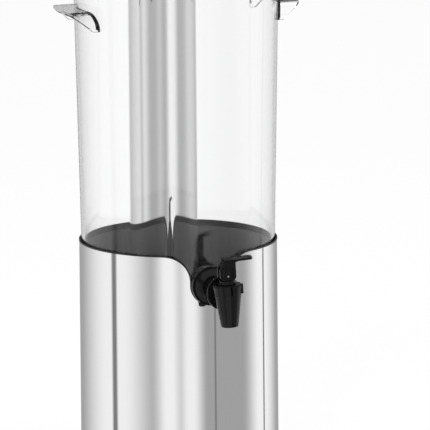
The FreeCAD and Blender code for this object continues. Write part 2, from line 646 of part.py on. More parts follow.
def make_cap_seal():
    plug = TUBE_R - TUBE_WALL - CAP_PLUG_GAP
    reach = TUBE_R - TUBE_WALL - CAP_SEAL_GAP
    height = TUBE_TOP_Z - CAP_PLUG_H / 2
    return turned([(plug - CAP_SEAL_R, height - CAP_SEAL_R), (plug, height - CAP_SEAL_R), (reach, height),
                   (plug, height + CAP_SEAL_R), (plug - CAP_SEAL_R, height + CAP_SEAL_R)], 0, TUBE_BACK)


# ---- lid

def make_lid():
    r, t, c = LID_R, LID_T, LID_CORNER_R
    z, panel, p = LID_TOP_Z, PANEL_TOP_Z, LID_PANEL_R
    rise = LID_RISE
    lid = turned([
        (0, panel - t), (p, panel - t), (p + rise, z - t), (r - c, z - t),
        quarter((r - c, z - c), c - t, 90, 0), (r - t, z - LID_SKIRT_H), (r, z - LID_SKIRT_H),
        (r, z - c), quarter((r - c, z - c), c, 0, 90), (p + rise, z), (p, panel), (0, panel)])
    lid = lid.cut(disc(COLLAR_NECK_R + FIT, TANK_TOP_Z, panel, 0, TUBE_BACK))
    return lid.cut(disc(KNOB_SCREW_R + FIT, TANK_TOP_Z, panel, 0, -KNOB_FRONT))


def make_lid_seal():
    outer = tank_radius(TANK_TOP_Z - LID_SEAL_H) - TANK_WALL - LID_SEAL_GAP
    return ring(outer - LID_SEAL_T, outer, TANK_TOP_Z - LID_SEAL_H, LID_TOP_Z - LID_T)


def make_tube_collar():
    lip = TUBE_R + COLLAR_WALL + COLLAR_GAP
    low = PANEL_TOP_Z - LID_T - COLLAR_NECK_H
    return turned([(COLLAR_BORE_R, low), (COLLAR_NECK_R, low), (COLLAR_NECK_R, PANEL_TOP_Z),
                   (lip, PANEL_TOP_Z), (lip, COLLAR_TOP_Z), (COLLAR_BORE_R, COLLAR_TOP_Z)], 0, TUBE_BACK)


def make_lid_knob():
    base, top, c = PANEL_TOP_Z, PANEL_TOP_Z + KNOB_H, KNOB_ROUND
    neck = base + KNOB_NECK_H
    knob = turned([
        (0, base), (KNOB_NECK_R + 2.0, base), (KNOB_NECK_R, base + 1.5), (KNOB_NECK_R, neck),
        (KNOB_R - 2.0, neck + 1.5), quarter((KNOB_R - 2.0, neck + 3.5), 2.0, 270, 360),
        (KNOB_R, top - c), quarter((KNOB_R - c, top - c), c, 0, 90), (0, top)], 0, -KNOB_FRONT)
    return knob.cut(disc(KNOB_SCREW_R + FIT, base, base + KNOB_SCREW_L - 2.0, 0, -KNOB_FRONT))


def make_knob_washer():
    under = PANEL_TOP_Z - LID_T
    return ring(KNOB_SCREW_R + FIT, KNOB_WASHER_R, under - KNOB_WASHER_T, under, 0, -KNOB_FRONT)


def make_knob_screw():
    head_top = PANEL_TOP_Z - LID_T - KNOB_WASHER_T
    head = turned([(0, head_top - 2.4), (2.6, head_top - 2.4), (3.8, head_top - 1.2), (3.8, head_top),
                   (0, head_top)], 0, -KNOB_FRONT)
    return head.fuse(disc(KNOB_SCREW_R, head_top, head_top + KNOB_SCREW_L, 0, -KNOB_FRONT)).removeSplitter()


# ---- drip tray

def make_drip_tray():
    front = TRAY_BACK + TRAY_DEPTH
    w, r = TRAY_WALL, TRAY_CORNER_R
    tray = rounded_plate(TRAY_HALF, TRAY_BACK, front, r, TRAY_FLOOR_Z, TRAY_TOP_Z)
    inside = rounded_plate(TRAY_HALF - w, TRAY_BACK + w, front - w, r - w, TRAY_FLOOR_Z + w, TRAY_TOP_Z + 1)
    return tray.cut(inside)


def make_tray_feet():
    x, y = TRAY_HALF - TRAY_FOOT_INSET, TRAY_DEPTH / 2 - TRAY_FOOT_INSET
    return Part.Compound([disc(TRAY_FOOT_R, 0, TRAY_FLOOR_Z, a * x, -TRAY_MIDDLE + b * y)
                          for a in (-1, 1) for b in (-1, 1)])


def slit_places():
    """Middle and half length of each slit of the grid."""
    span = 2 * (TRAY_HALF - GRID_MARGIN)
    length = (span - SLIT_BRIDGE * (SLIT_COLUMNS - 1)) / SLIT_COLUMNS
    for row in range(SLIT_ROWS):
        for column in range(SLIT_COLUMNS):
            x = (column - (SLIT_COLUMNS - 1) / 2) * (length + SLIT_BRIDGE)
            y = -TRAY_MIDDLE + (row - (SLIT_ROWS - 1) / 2) * SLIT_PITCH
            yield x, y, length / 2


def make_drip_grid():
    inset = TRAY_WALL + GRID_GAP
    back_y, front = TRAY_BACK + inset, TRAY_BACK + TRAY_DEPTH - inset
    half, r = TRAY_HALF - inset, TRAY_CORNER_R - inset
    low, s = TRAY_FLOOR_Z + TRAY_WALL, GRID_SKIRT_T
    grid = rounded_plate(half, back_y, front, r, low, GRID_TOP_Z)
    grid = grid.cut(rounded_plate(half - s, back_y + s, front - s, r - s, low, GRID_TOP_Z - GRID_T))
    slits = []
    for x, y, length in slit_places():
        w = SLIT_WIDTH / 2
        straight = length - w
        steps = [(x - straight, y + w), ((x - length, y), (x - straight, y - w)), (x + straight, y - w),
                 ((x + length, y), (x + straight, y + w))]
        slits.append(slab(steps, lambda a, b: Vec(a, b, GRID_TOP_Z - 2 * GRID_T), Vec(0, 0, 3 * GRID_T)))
    return grid.cut(Part.Compound(slits))


def rivet_shank(x, radius):
    return Part.makeCylinder(radius, 8.0, Vec(x, -BRACKET_OUT - 1.0, RIVET_Z), Vec(0, 1, 0))


def make_tray_bracket():
    sector = ring(SLEEVE_R, BRACKET_OUT, TONGUE_Z, BRACKET_TOP_Z)
    sector = sector.common(block(-BRACKET_HALF, BRACKET_HALF, -2 * SLEEVE_R, 0, TONGUE_Z, BRACKET_TOP_Z))
    tongue = block(-BRACKET_HALF, BRACKET_HALF, -BRACKET_OUT - TONGUE_REACH, -SLEEVE_R, TONGUE_Z,
                   TONGUE_Z + BRACKET_T)
    tongue = tongue.cut(disc(SLEEVE_R, TONGUE_Z, TONGUE_Z + BRACKET_T))
    holes = Part.Compound([rivet_shank(x, RIVET_R / 2 + FIT) for x in (-RIVET_SPREAD / 2, RIVET_SPREAD / 2)])
    return sector.fuse(tongue).removeSplitter().cut(holes)


def make_bracket_rivets():
    rivets = []
    for x in (-RIVET_SPREAD / 2, RIVET_SPREAD / 2):
        face = math.sqrt(BRACKET_OUT ** 2 - x ** 2)
        inside = math.sqrt(SLEEVE_IN_R ** 2 - x ** 2)
        front = -face - 0.4
        shank = Part.makeCylinder(RIVET_R / 2, face - inside + 0.8, Vec(x, front, RIVET_Z), Vec(0, 1, 0))
        head_front = Vec(x, front - RIVET_HEAD_T, RIVET_Z)
        head = Part.makeCylinder(RIVET_R, RIVET_HEAD_T, head_front, Vec(0, 1, 0))
        rivets.append(shank.fuse(head).removeSplitter())
    return Part.Compound(rivets)


save("sleeve", make_sleeve())
save("rim_trim", make_rim_trim())
save("base_pad", disc(PAD_R, 0, HEM_TOP_Z))
save("base_plate", make_base_plate())
save("tank_stand", make_tank_stand())
save("stand_screws", make_stand_screws())
save("tank_seat_ring", make_seat_ring())
save("tray_bracket", make_tray_bracket())
save("bracket_rivets", make_bracket_rivets())

save("tank", make_tank())
save("handle_left", make_handle(-1))
save("handle_right", make_handle(1))

save("tap_body", set_in_place(make_tap_body()))
save("tap_washer_outer", set_in_place(shank_ring(TAP_HOLE_R, WASHER_R, BOSS_OUT, WASHER_OUT)))
save("tap_washer_inner", set_in_place(shank_ring(TAP_HOLE_R, INNER_WASHER_R, NUT_OUT, BOSS_IN)))
save("tap_nut", set_in_place(make_tap_nut()))
save("tap_bonnet", set_in_place(make_tap_bonnet()))
save("swivel_ring", set_in_place(make_swivel_ring()))
save("valve_stem", set_in_place(make_valve_stem()))
save("lever_pin", set_in_place(make_lever_pin()))
save("seat_cup", set_in_place(make_seat_cup()))
save("return_spring", set_in_place(make_return_spring()))
save("tap_lever", set_in_place(make_tap_lever()))

save("ice_tube", make_ice_tube())
save("tube_bumper", make_tube_bumper())
save("tube_cap", make_tube_cap())
save("cap_seal", make_cap_seal())

save("lid", make_lid())
save("lid_seal", make_lid_seal())
save("tube_collar", make_tube_collar())
save("lid_knob", make_lid_knob())
save("knob_washer", make_knob_washer())
save("knob_screw", make_knob_screw())

save("drip_tray", make_drip_tray())
save("tray_feet", make_tray_feet())
save("drip_grid", make_drip_grid())
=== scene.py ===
import math

import bpy
from mathutils import Matrix, Vector


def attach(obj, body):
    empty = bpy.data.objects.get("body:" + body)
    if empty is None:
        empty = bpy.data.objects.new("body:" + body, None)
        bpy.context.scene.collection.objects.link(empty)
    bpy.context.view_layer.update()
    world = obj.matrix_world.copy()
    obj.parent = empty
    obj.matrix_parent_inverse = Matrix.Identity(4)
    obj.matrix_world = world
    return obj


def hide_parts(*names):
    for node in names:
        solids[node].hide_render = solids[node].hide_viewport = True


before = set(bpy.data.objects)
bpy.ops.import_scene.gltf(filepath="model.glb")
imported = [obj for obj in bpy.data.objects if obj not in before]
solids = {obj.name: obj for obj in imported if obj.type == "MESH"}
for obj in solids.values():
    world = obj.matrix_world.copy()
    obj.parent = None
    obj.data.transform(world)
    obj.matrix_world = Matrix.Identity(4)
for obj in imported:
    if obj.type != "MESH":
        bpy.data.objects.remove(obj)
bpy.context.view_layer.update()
MM = 0.001


# ---- Non-slip pad, base plate and the drum that carries the tank.
# The pad is black rubber, the plate and the drum are satin black plastic with a moulded grain.
# Four countersunk screws come up through the plate into the drum's foot.

class Strand:
    """One output of a shader node. Arithmetic on it adds Math nodes."""

    def __init__(self, look, socket):
        self.look = look
        self.socket = socket

    def __add__(self, other):
        return self.look.maths("ADD", self, other)

    __radd__ = __add__

    def __sub__(self, other):
        return self.look.maths("SUBTRACT", self, other)

    def __rsub__(self, other):
        return self.look.maths("SUBTRACT", other, self)

    def __mul__(self, other):
        return self.look.maths("MULTIPLY", self, other)

    __rmul__ = __mul__

    def out(self, name):
        """Another output of the same node."""
        return Strand(self.look, self.socket.node.outputs[name])


class Look:
    """A node tree: of a new material, or of the world."""

    def __init__(self, name, owner=None):
        self.owner = owner or bpy.data.materials.new(name)
        self.owner.use_nodes = True
        self.tree = self.owner.node_tree
        self.tree.nodes.clear()

    def add(self, kind, settings=(), sockets=(), output=0):
        """Adds a node: first its settings, then the values or links of its sockets."""
        node = self.tree.nodes.new("ShaderNode" + kind)
        for name, value in dict(settings).items():
            setattr(node, name, value)
        for name, value in dict(sockets).items():
            if isinstance(value, Strand):
                self.tree.links.new(value.socket, node.inputs[name])
            elif value is not None:
                node.inputs[name].default_value = value
        return Strand(self, node.outputs[output] if len(node.outputs) else None)

    def maths(self, operation, *values):
        return self.add("Math", {"operation": operation}, dict(enumerate(values)))

    def spot(self):
        """A point of the piece, as X, Y and Z."""
        parts = self.add("SeparateXYZ", {}, {"Vector": self.add("TexCoord").out("Object")})
        return tuple(parts.out(axis) for axis in "XYZ")

    def noise(self, size, detail=2.0, stretch=(1.0, 1.0, 1.0)):
        """Clouds of about the given size in millimetres, from 0 to 1."""
        spot = self.add("Mapping", {}, {"Vector": self.add("TexCoord").out("Object"), "Scale": stretch})
        return self.add("TexNoise", {}, {"Vector": spot, "Scale": 1.0 / (size * MM), "Detail": detail})

    def spread(self, value, low, high, to_low=0.0, to_high=1.0, how="LINEAR"):
        """Maps the stretch from low to high of a value to another, and holds it at the ends."""
        return self.add("MapRange", {"clamp": True, "interpolation_type": how}, {
            "Value": value, "From Min": low, "From Max": high, "To Min": to_low, "To Max": to_high})

    def tint(self, share, first, second):
        """Two colours mixed."""
        mixed = self.add("Mix", {"data_type": "RGBA"}, {0: share}, 2)
        node = mixed.socket.node
        for index, value in ((6, first), (7, second)):
            if isinstance(value, Strand):
                self.tree.links.new(value.socket, node.inputs[index])
            else:
                node.inputs[index].default_value = (*value, 1.0)
        return mixed

    def bump(self, height, depth):
        """A surface that rises by height times depth millimetres."""
        return self.add("Bump", {}, {"Height": height, "Distance": depth * MM, "Strength": 1.0})

    def finish(self, sockets):
        """The surface itself."""
        shader = self.add("BsdfPrincipled", {}, sockets)
        self.add("OutputMaterial", {}, {"Surface": shader})
        return self.owner


def make_rubber():
    look = Look("black_rubber")
    grain = look.noise(0.8, 3.0)
    cloud = look.noise(14.0, 2.0)
    colour = look.tint(cloud, (0.014, 0.014, 0.015), (0.028, 0.028, 0.029))
    return look.finish({"Base Color": colour, "Roughness": look.spread(cloud, 0.3, 0.7, 0.55, 0.72),
                        "Normal": look.bump(grain, 0.08)})


def make_satin_plastic():
    look = Look("satin_black_plastic")
    grain = look.noise(0.35, 2.0)
    cloud = look.noise(18.0, 3.0)
    colour = look.tint(cloud, (0.011, 0.011, 0.012), (0.021, 0.021, 0.022))
    return look.finish({"Base Color": colour, "Roughness": look.spread(cloud, 0.3, 0.7, 0.32, 0.44),
                        "Normal": look.bump(grain, 0.03)})


def make_machined_steel():
    look = Look("machined_steel")
    lines = look.noise(0.25, 2.0, (1.0, 1.0, 8.0))
    cloud = look.noise(3.0, 2.0)
    colour = look.tint(cloud, (0.55, 0.55, 0.56), (0.68, 0.68, 0.68))
    return look.finish({"Base Color": colour, "Metallic": 1.0,
                        "Roughness": look.spread(lines, 0.3, 0.7, 0.17, 0.30),
                        "Normal": look.bump(lines, 0.004)})


def dress(piece, material):
    """Gives a piece one material all over."""
    piece.data.materials.clear()
    piece.data.materials.append(material)
    for face in piece.data.polygons:
        face.material_index = 0


rubber = make_rubber()
satin_plastic = make_satin_plastic()
machined_steel = make_machined_steel()
for node in ("base_pad", "tank_seat_ring"):
    dress(solids[node], rubber)
for node in ("base_plate", "tank_stand"):
    dress(solids[node], satin_plastic)
dress(solids["stand_screws"], machined_steel)


# ---- Sleeve: a drawn stainless steel shell, mirror polished outside and brushed inside.
# Its foot is folded inwards under the base plate. The cut-out for the tap is open at the top, with
# rounded shoulders.

def alone(piece):
    """Leaves one piece selected and active."""
    bpy.ops.object.select_all(action="DESELECT")
    piece.select_set(True)
    bpy.context.view_layer.objects.active = piece


def arc(centre, radius, start, end, steps=8):
    """Points of an arc, from its centre and the angles of its ends in degrees."""
    turns = [math.radians(start + (end - start) * i / steps) for i in range(steps + 1)]
    return [(centre[0] + radius * math.cos(t), centre[1] + radius * math.sin(t)) for t in turns]


def draw(name, points, place, closed=True):
    """Extrudes one vertex along an outline in millimetres, and stays in edit mode."""
    bpy.ops.object.select_all(action="DESELECT")
    bpy.ops.mesh.primitive_plane_add(size=MM)
    piece = bpy.context.object
    piece.name = piece.data.name = name
    bpy.ops.object.mode_set(mode="EDIT")
    bpy.ops.mesh.merge(type="CENTER")
    spots = [Vector(place(*p)) * MM for p in points]
    bpy.ops.transform.translate(value=spots[0])
    for here, there in zip(spots, spots[1:]):
        bpy.ops.mesh.extrude_vertices_move(TRANSFORM_OT_translate={"value": there - here})
    if closed:
        bpy.ops.mesh.extrude_vertices_move(TRANSFORM_OT_translate={"value": spots[0] - spots[-1]})
    bpy.ops.mesh.select_all(action="SELECT")
    bpy.ops.mesh.remove_doubles(threshold=1e-7)
    return piece


def close_up(piece):
    """Merges doubles, points all faces outwards, and leaves edit mode."""
    bpy.ops.mesh.select_all(action="SELECT")
    bpy.ops.mesh.remove_doubles(threshold=1e-6)
    bpy.ops.mesh.normals_make_consistent(inside=False)
    bpy.ops.object.mode_set(mode="OBJECT")
    return piece


def turn(name, points, steps=96, middle=(0.0, 0.0), closed=False):
    """A turned piece: an outline of (radius, height) spun about an upright axis."""
    x, y = middle
    piece = draw(name, points, lambda r, z: (x + r, y, z), closed)
    bpy.ops.mesh.spin(steps=steps, angle=2 * math.pi, center=(x * MM, y * MM, 0), axis=(0, 0, 1))
    return close_up(piece)


def turn_level(name, points, steps=96):
    """A piece turned about the Y axis, from an outline of (distance along Y, radius)."""
    piece = draw(name, points, lambda y, r: (r, y, 0), False)
    bpy.ops.mesh.spin(steps=steps, angle=2 * math.pi, center=(0, 0, 0), axis=(0, 1, 0))
    return close_up(piece)


def prism(name, points, place, sweep):
    """A flat outline, filled and extruded by the vector sweep."""
    piece = draw(name, points, place)
    bpy.ops.mesh.select_mode(type="EDGE")
    bpy.ops.mesh.select_all(action="SELECT")
    bpy.ops.mesh.edge_face_add()
    move = {"value": Vector(sweep) * MM}
    bpy.ops.mesh.extrude_region_move(TRANSFORM_OT_translate=move)
    bpy.ops.mesh.select_mode(type="VERT")
    return close_up(piece)


def change(piece, kind, **settings):
    """Adds a modifier and applies it."""
    modifier = piece.modifiers.new(kind.lower(), kind)
    for name, value in settings.items():
        setattr(modifier, name, value)
    alone(piece)
    bpy.ops.object.modifier_apply(modifier=modifier.name)
    return piece


def join_solid(piece, *tools, how="UNION"):
    """Joins pieces into one skin, or cuts them away."""
    for tool in tools:
        change(piece, "BOOLEAN", operation=how, object=tool, solver="EXACT")
        bpy.data.objects.remove(tool)
    return piece


def cut(piece, *tools):
    return join_solid(piece, *tools, how="DIFFERENCE")


def soften(piece, width, steps=2, sharper_than=28.0):
    """Rounds the sharp edges, and shades the rest smooth."""
    if width:
        change(piece, "BEVEL", width=width * MM, segments=steps, limit_method="ANGLE",
               angle_limit=math.radians(sharper_than), use_clamp_overlap=True, miter_outer="MITER_ARC")
    alone(piece)
    bpy.ops.object.shade_smooth_by_angle(angle=math.radians(sharper_than))
    return change(piece, "WEIGHTED_NORMAL", keep_sharp=True, weight=80)


def make_polished_steel(name, satin_within=0.0):
    """Polished steel. Nearer than satin_within to the Z axis it is brushed instead."""
    look = Look(name)
    cloud = look.noise(70.0, 3.0)
    rubbed = look.noise(1.1, 3.0, (1.0, 1.0, 0.08))
    haze = look.spread(cloud, 0.35, 0.75, 0.03, 0.05)
    rough = haze + 0.015 * rubbed
    colour = look.tint(rubbed, (0.895, 0.895, 0.895), (0.92, 0.92, 0.92))
    metal = 1.0
    if satin_within:
        x, y, z = look.spot()
        inside = look.maths("LESS_THAN", look.maths("SQRT", x * x + y * y), satin_within * MM)
        brushed = look.noise(2.5, 4.0, (1.0, 1.0, 0.02))
        colour = look.tint(inside, colour, look.tint(brushed, (0.72, 0.72, 0.73), (0.90, 0.90, 0.91)))
        rough = rough + inside * (0.30 + 0.10 * brushed)
        metal = 1.0 - 0.3 * inside
    return look.finish({"Base Color": colour, "Metallic": metal, "Roughness": rough})


SLEEVE_R, SLEEVE_WALL, SLEEVE_TOP = 103.5, 0.8, 218.2
SLEEVE_FOOT, FOOT_ROUND, HEM = 1.5, 2.0, 6.0
SLOT_HALF, SLOT_LOW, SHOULDER = 21.0, 188.0, 27.0


def round_walls(piece, middle, radii):
    """Makes the shading of upright round walls exact, so that reflections run straight."""
    mesh = piece.data
    normals = []
    for face in mesh.polygons:
        side = Vector((face.normal.x, face.normal.y))
        for corner in face.loop_indices:
            spot = mesh.vertices[mesh.loops[corner].vertex_index].co
            out = Vector((spot.x - middle[0] * MM, spot.y - middle[1] * MM))
            near = any(abs(out.length / MM - r) < 0.2 for r in radii)
            upright = side.length > 0.98 and out.length > 0
            if near and upright and abs(side.normalized().dot(out.normalized())) > 0.98:
                out = out.normalized() * (1 if side.dot(out) > 0 else -1)
                normals.append(Vector((out.x, out.y, 0.0)).normalized())
            else:
                normals.append(mesh.corner_normals[corner].vector.copy())
    mesh.normals_split_custom_set(normals)
    return piece


inner = SLEEVE_R - SLEEVE_WALL
sleeve = turn("sleeve_shell", [
    (SLEEVE_R - HEM, SLEEVE_FOOT),
    *arc((SLEEVE_R - FOOT_ROUND, SLEEVE_FOOT + FOOT_ROUND), FOOT_ROUND, -90, 0, 6),
    (SLEEVE_R, SLEEVE_TOP), (inner, SLEEVE_TOP),
    *arc((SLEEVE_R - FOOT_ROUND, SLEEVE_FOOT + FOOT_ROUND), FOOT_ROUND - SLEEVE_WALL, 0, -90, 6),
    (SLEEVE_R - HEM, SLEEVE_FOOT + SLEEVE_WALL)], 240, closed=True)
bend, side, high = SLEEVE_TOP - SHOULDER, SLOT_HALF + SHOULDER, SLEEVE_TOP + 30
right = [*arc((0, SLOT_LOW), SLOT_HALF, -90, 0, 24), *arc((side, bend), SHOULDER, 180, 90, 24), (side, high)]
left = [(-x, z) for x, z in reversed(right)]
cut(sleeve, prism("slot_tool", right + left[:-1], lambda x, z: (x, -1.5 * SLEEVE_R, z),
                  (0, 1.5 * SLEEVE_R, 0)))
soften(sleeve, 0.0)
round_walls(sleeve, (0, 0), (SLEEVE_R, inner))
polished_steel = make_polished_steel("polished_stainless_steel")
dress(sleeve, make_polished_steel("sleeve_stainless_steel", inner + 0.4))
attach(sleeve, "base")
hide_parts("sleeve")


# ---- Edge trim: a thin black strip pushed over the sleeve's top edge and round the cut-out.
# It is extruded rubber with a short lip inside the sleeve.

def make_trim_rubber():
    look = Look("black_edge_trim")
    grain = look.noise(0.6, 2.0)
    colour = look.tint(grain, (0.006, 0.006, 0.006), (0.014, 0.014, 0.014))
    return look.finish({"Base Color": colour, "Roughness": look.spread(grain, 0.3, 0.7, 0.35, 0.5),
                        "Normal": look.bump(grain, 0.01)})


dress(solids["rim_trim"], make_trim_rubber())


# ---- Tray bracket: a strip of polished steel, bent through a right angle.
# It is riveted to the foot of the sleeve by two domed rivets, and its tongue lies under the drip tray.

BRACKET_HALF, BRACKET_T, BRACKET_TOP = 13.0, 1.2, 31.3
TONGUE_LOW, TONGUE_REACH = 1.4, 66.0
RIVET_R, RIVET_SPREAD, RIVET_Z = 2.4, 14.0, 18.0
bracket = turn("tray_bracket_strip", [
    (SLEEVE_R + 0.02, TONGUE_LOW), (SLEEVE_R + BRACKET_T, TONGUE_LOW), (SLEEVE_R + BRACKET_T, BRACKET_TOP),
    (SLEEVE_R + 0.02, BRACKET_TOP)], 240, closed=True)
corner = 3.0
strip = prism("strip_tool", [
    (-BRACKET_HALF, -10), (BRACKET_HALF, -10),
    *arc((BRACKET_HALF - corner, BRACKET_TOP - corner), corner, 0, 90, 6),
    *arc((corner - BRACKET_HALF, BRACKET_TOP - corner), corner, 90, 180, 6)],
    lambda x, z: (x, -2 * SLEEVE_R, z), (0, 2 * SLEEVE_R, 0))
join_solid(bracket, strip, how="INTERSECT")
front = -SLEEVE_R - BRACKET_T - TONGUE_REACH
tongue = prism("tongue", [
    (-BRACKET_HALF, -SLEEVE_R - 0.4), (-BRACKET_HALF, front + 4), (4 - BRACKET_HALF, front),
    (BRACKET_HALF - 4, front), (BRACKET_HALF, front + 4), (BRACKET_HALF, -SLEEVE_R - 0.4)],
    lambda x, y: (x, y, TONGUE_LOW), (0, 0, BRACKET_T))
join_solid(bracket, tongue)
soften(bracket, 0.25)
dress(bracket, polished_steel)
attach(bracket, "base")
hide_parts("tray_bracket")

rivets = []
for x in (-RIVET_SPREAD / 2, RIVET_SPREAD / 2):
    face = math.sqrt((SLEEVE_R + BRACKET_T) ** 2 - x ** 2)
    rivet = turn_level("rivet", [(0, 0), (0, RIVET_R), *arc((0, 0), RIVET_R, 90, 180, 6)[1:]], 32)
    rivet.scale = (1, 0.55, 1)
    rivet.location = (x * MM, (-face - 0.05) * MM, RIVET_Z * MM)
    rivets.append(rivet)
bpy.ops.object.select_all(action="DESELECT")
for rivet in rivets:
    rivet.select_set(True)
bpy.context.view_layer.objects.active = rivets[0]
bpy.ops.object.transform_apply(location=True, rotation=True, scale=True)
bpy.ops.object.join()
bracket_rivets = bpy.context.object
bracket_rivets.name = "tray_bracket_rivets"
soften(bracket_rivets, 0.0)
dress(bracket_rivets, machined_steel)
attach(bracket_rivets, "base")
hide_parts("bracket_rivets")


# ---- Tank, with its two carrying handles.
# It is moulded from clear plastic, slightly wider at the top, with a rolled rim, a flat boss for the
# tap and a low ring on the floor that locates the ice tube. The handles are bonded to its wall.

def make_clear_plastic(look):
    cloud = look.noise(45.0, 2.0, (1.0, 1.0, 0.3))
    colour = look.tint(cloud, (0.985, 0.988, 0.988), (0.995, 0.996, 0.996))
    rough = look.spread(cloud, 0.3, 0.7, 0.0, 0.012)
    return look.add("BsdfPrincipled", {}, {"Base Color": colour, "Roughness": rough,
                                           "Transmission Weight": 1.0, "IOR": 1.49})


TANK_R, TANK_SLOPE, TANK_WALL = 101.2, 0.0213, 3.5
TANK_LOW, TANK_FLOOR, TANK_TOP = 158.0, 162.0, 512.0
TANK_CORNER, TANK_FOOT_R, TANK_FOOT_H, TANK_FOOT_W = 7.0, 87.0, 2.0, 7.0
BEAD_OUT, BEAD_H = 2.2, 6.0
BOSS_R, BOSS_IN, BOSS_OUT, TAP_Z, TAP_HOLE = 19.0, 95.0, 104.4, 188.0, 8.6
TUBE_R, TUBE_BACK, SPIGOT_H, SPIGOT_W = 36.0, 47.0, 8.0, 2.5


def tank_radius(z):
    return TANK_R + TANK_SLOPE * (z - SLEEVE_TOP)


bead = tank_radius(TANK_TOP) + BEAD_OUT
corner_in = TANK_CORNER - TANK_WALL
low_r = tank_radius(TANK_LOW + TANK_CORNER) - TANK_CORNER
low_in = tank_radius(TANK_FLOOR + corner_in) - TANK_WALL - corner_in
tank = turn("tank_shell", [
    (0, TANK_LOW), (TANK_FOOT_R - TANK_FOOT_W, TANK_LOW),
    (TANK_FOOT_R - TANK_FOOT_W + 0.5, TANK_LOW - TANK_FOOT_H), (TANK_FOOT_R - 0.5, TANK_LOW - TANK_FOOT_H),
    (TANK_FOOT_R, TANK_LOW),
    *arc((low_r, TANK_LOW + TANK_CORNER), TANK_CORNER, -90, 0, 8),
    (tank_radius(TANK_TOP - BEAD_H), TANK_TOP - BEAD_H), (bead, TANK_TOP - BEAD_H + BEAD_OUT),
    (bead, TANK_TOP - 2.5), *arc((bead - 2.5, TANK_TOP - 2.5), 2.5, 15, 75, 4), (bead - 2.5, TANK_TOP),
    (tank_radius(TANK_TOP) - TANK_WALL, TANK_TOP),
    *arc((low_in, TANK_FLOOR + corner_in), corner_in, 0, -90, 6), (0, TANK_FLOOR)], 224)
boss = turn_level("boss", [(-BOSS_OUT, 0), (-BOSS_OUT, BOSS_R - 0.6), (-BOSS_OUT + 0.6, BOSS_R),
                           (-BOSS_IN, BOSS_R), (-BOSS_IN, 0)], 64)
hole = turn_level("hole", [(-BOSS_OUT - 5, 0), (-BOSS_OUT - 5, TAP_HOLE), (-BOSS_IN + 5, TAP_HOLE),
                           (-BOSS_IN + 5, 0)], 48)
for tool in (boss, hole):
    tool.location = (0, 0, TAP_Z * MM)
spigot_in = TUBE_R + 0.5
spigot = turn("spigot", [(spigot_in, TANK_FLOOR - 1), (spigot_in + SPIGOT_W, TANK_FLOOR - 1),
                         (spigot_in + SPIGOT_W, TANK_FLOOR + SPIGOT_H), (spigot_in, TANK_FLOOR + SPIGOT_H)],
              96, (0, TUBE_BACK), True)

HANDLE_TOP, HANDLE_HALF, HANDLE_T, HANDLE_R, LEG_H = 470.0, 42.6, 3.5, 17.0, 18.8
HANDLE_OUT, HANDLE_FOOT, HANDLE_LIP, HANDLE_PLAN_R, SEAM = 21.5, 5.8, 3.8, 9.0, 0.08
# The band of painted shade on each handle: how far it reaches from the tank's wall, where it ends at the
# back, where it slopes down at the front corner, and how deep it goes below the handle's top.
SHADE_BAND_REACH, SHADE_BAND_BACK, SHADE_BAND_CORNER, SHADE_BAND_DEPTH = 2.2, 4.0, 22.0, 1.7


def make_handle_plastic():
    """Clear plastic, with painted shade: near black where the front half of a handle meets the tank's wall,
    standing in for the dark seen through that junction.
    """
    look = Look("clear_plastic_handle")
    clear = make_clear_plastic(look)
    cloud = look.noise(3.0, 2.0)
    dark = look.add("BsdfPrincipled", {}, {
        "Base Color": look.tint(cloud, (0.003, 0.003, 0.003), (0.010, 0.010, 0.010)),
        "Roughness": look.spread(cloud, 0.3, 0.7, 0.25, 0.40)})
    # Mask of the painted shade: near the wall, on the front half, and high on the handle, sloping down
    # towards the front corner.
    x, y, z = look.spot()
    wall = TANK_R * MM + TANK_SLOPE * (z - SLEEVE_TOP * MM)
    at_wall = look.maths("LESS_THAN", look.maths("SQRT", x * x + y * y) - wall, SHADE_BAND_REACH * MM)
    front = look.maths("LESS_THAN", y, SHADE_BAND_BACK * MM)
    corner = look.maths("MAXIMUM", -SHADE_BAND_CORNER * MM - y, 0.0)
    high = look.maths("GREATER_THAN", z + 0.9 * corner, (HANDLE_TOP - SHADE_BAND_DEPTH) * MM)
    painted_shade_mix = look.add("MixShader", {}, {0: at_wall * front * high, 1: clear, 2: dark})
    look.add("OutputMaterial", {}, {"Surface": painted_shade_mix})
    return look.owner


def make_handle(side):
    """side is -1 for the left handle and 1 for the right one."""
    leg, w, r, t, p = HANDLE_TOP - LEG_H, HANDLE_HALF, HANDLE_R, HANDLE_T, HANDLE_PLAN_R
    wall = tank_radius(HANDLE_TOP)
    reach = wall + HANDLE_OUT
    crown = HANDLE_TOP - r
    arch = prism("handle", [
        (-w, leg), *arc((-w + r, crown), r, 180, 90, 10), *arc((w - r, crown), r, 90, 0, 10), (w, leg),
        (w - t, leg), *arc((w - r, crown), r - t, 0, 90, 10), *arc((-w + r, crown), r - t, 90, 180, 10),
        (-w + t, leg)],
        lambda y, z: (side * (wall - 40), y, z), (side * (HANDLE_OUT + 50), 0, 0))
    x = math.sqrt((reach - p) ** 2 - (w - p) ** 2)
    swing = math.degrees(math.atan2(w - p, x))
    limit = prism("limit", [
        (10, -w - 1), (x, -w - 1), *arc((x, p - w), p, -90, -swing, 8),
        *arc((0, 0), reach, -swing, swing, 32)[1:-1], *arc((x, w - p), p, swing, 90, 8),
        (x, w + 1), (10, w + 1)],
        lambda a, b: (side * a, b, leg - 5), (0, 0, LEG_H + 10))
    above = turn("above", [(0, leg), (wall + HANDLE_FOOT, leg), (reach, HANDLE_TOP - HANDLE_LIP),
                           (reach, HANDLE_TOP + 1), (0, HANDLE_TOP + 1)], 224)
    core = turn("core", [(0, 400), (tank_radius(400) + SEAM, 400), (tank_radius(500) + SEAM, 500),
                         (0, 500)], 224)
    join_solid(arch, limit, above, how="INTERSECT")
    return soften(cut(arch, core), 0.5)


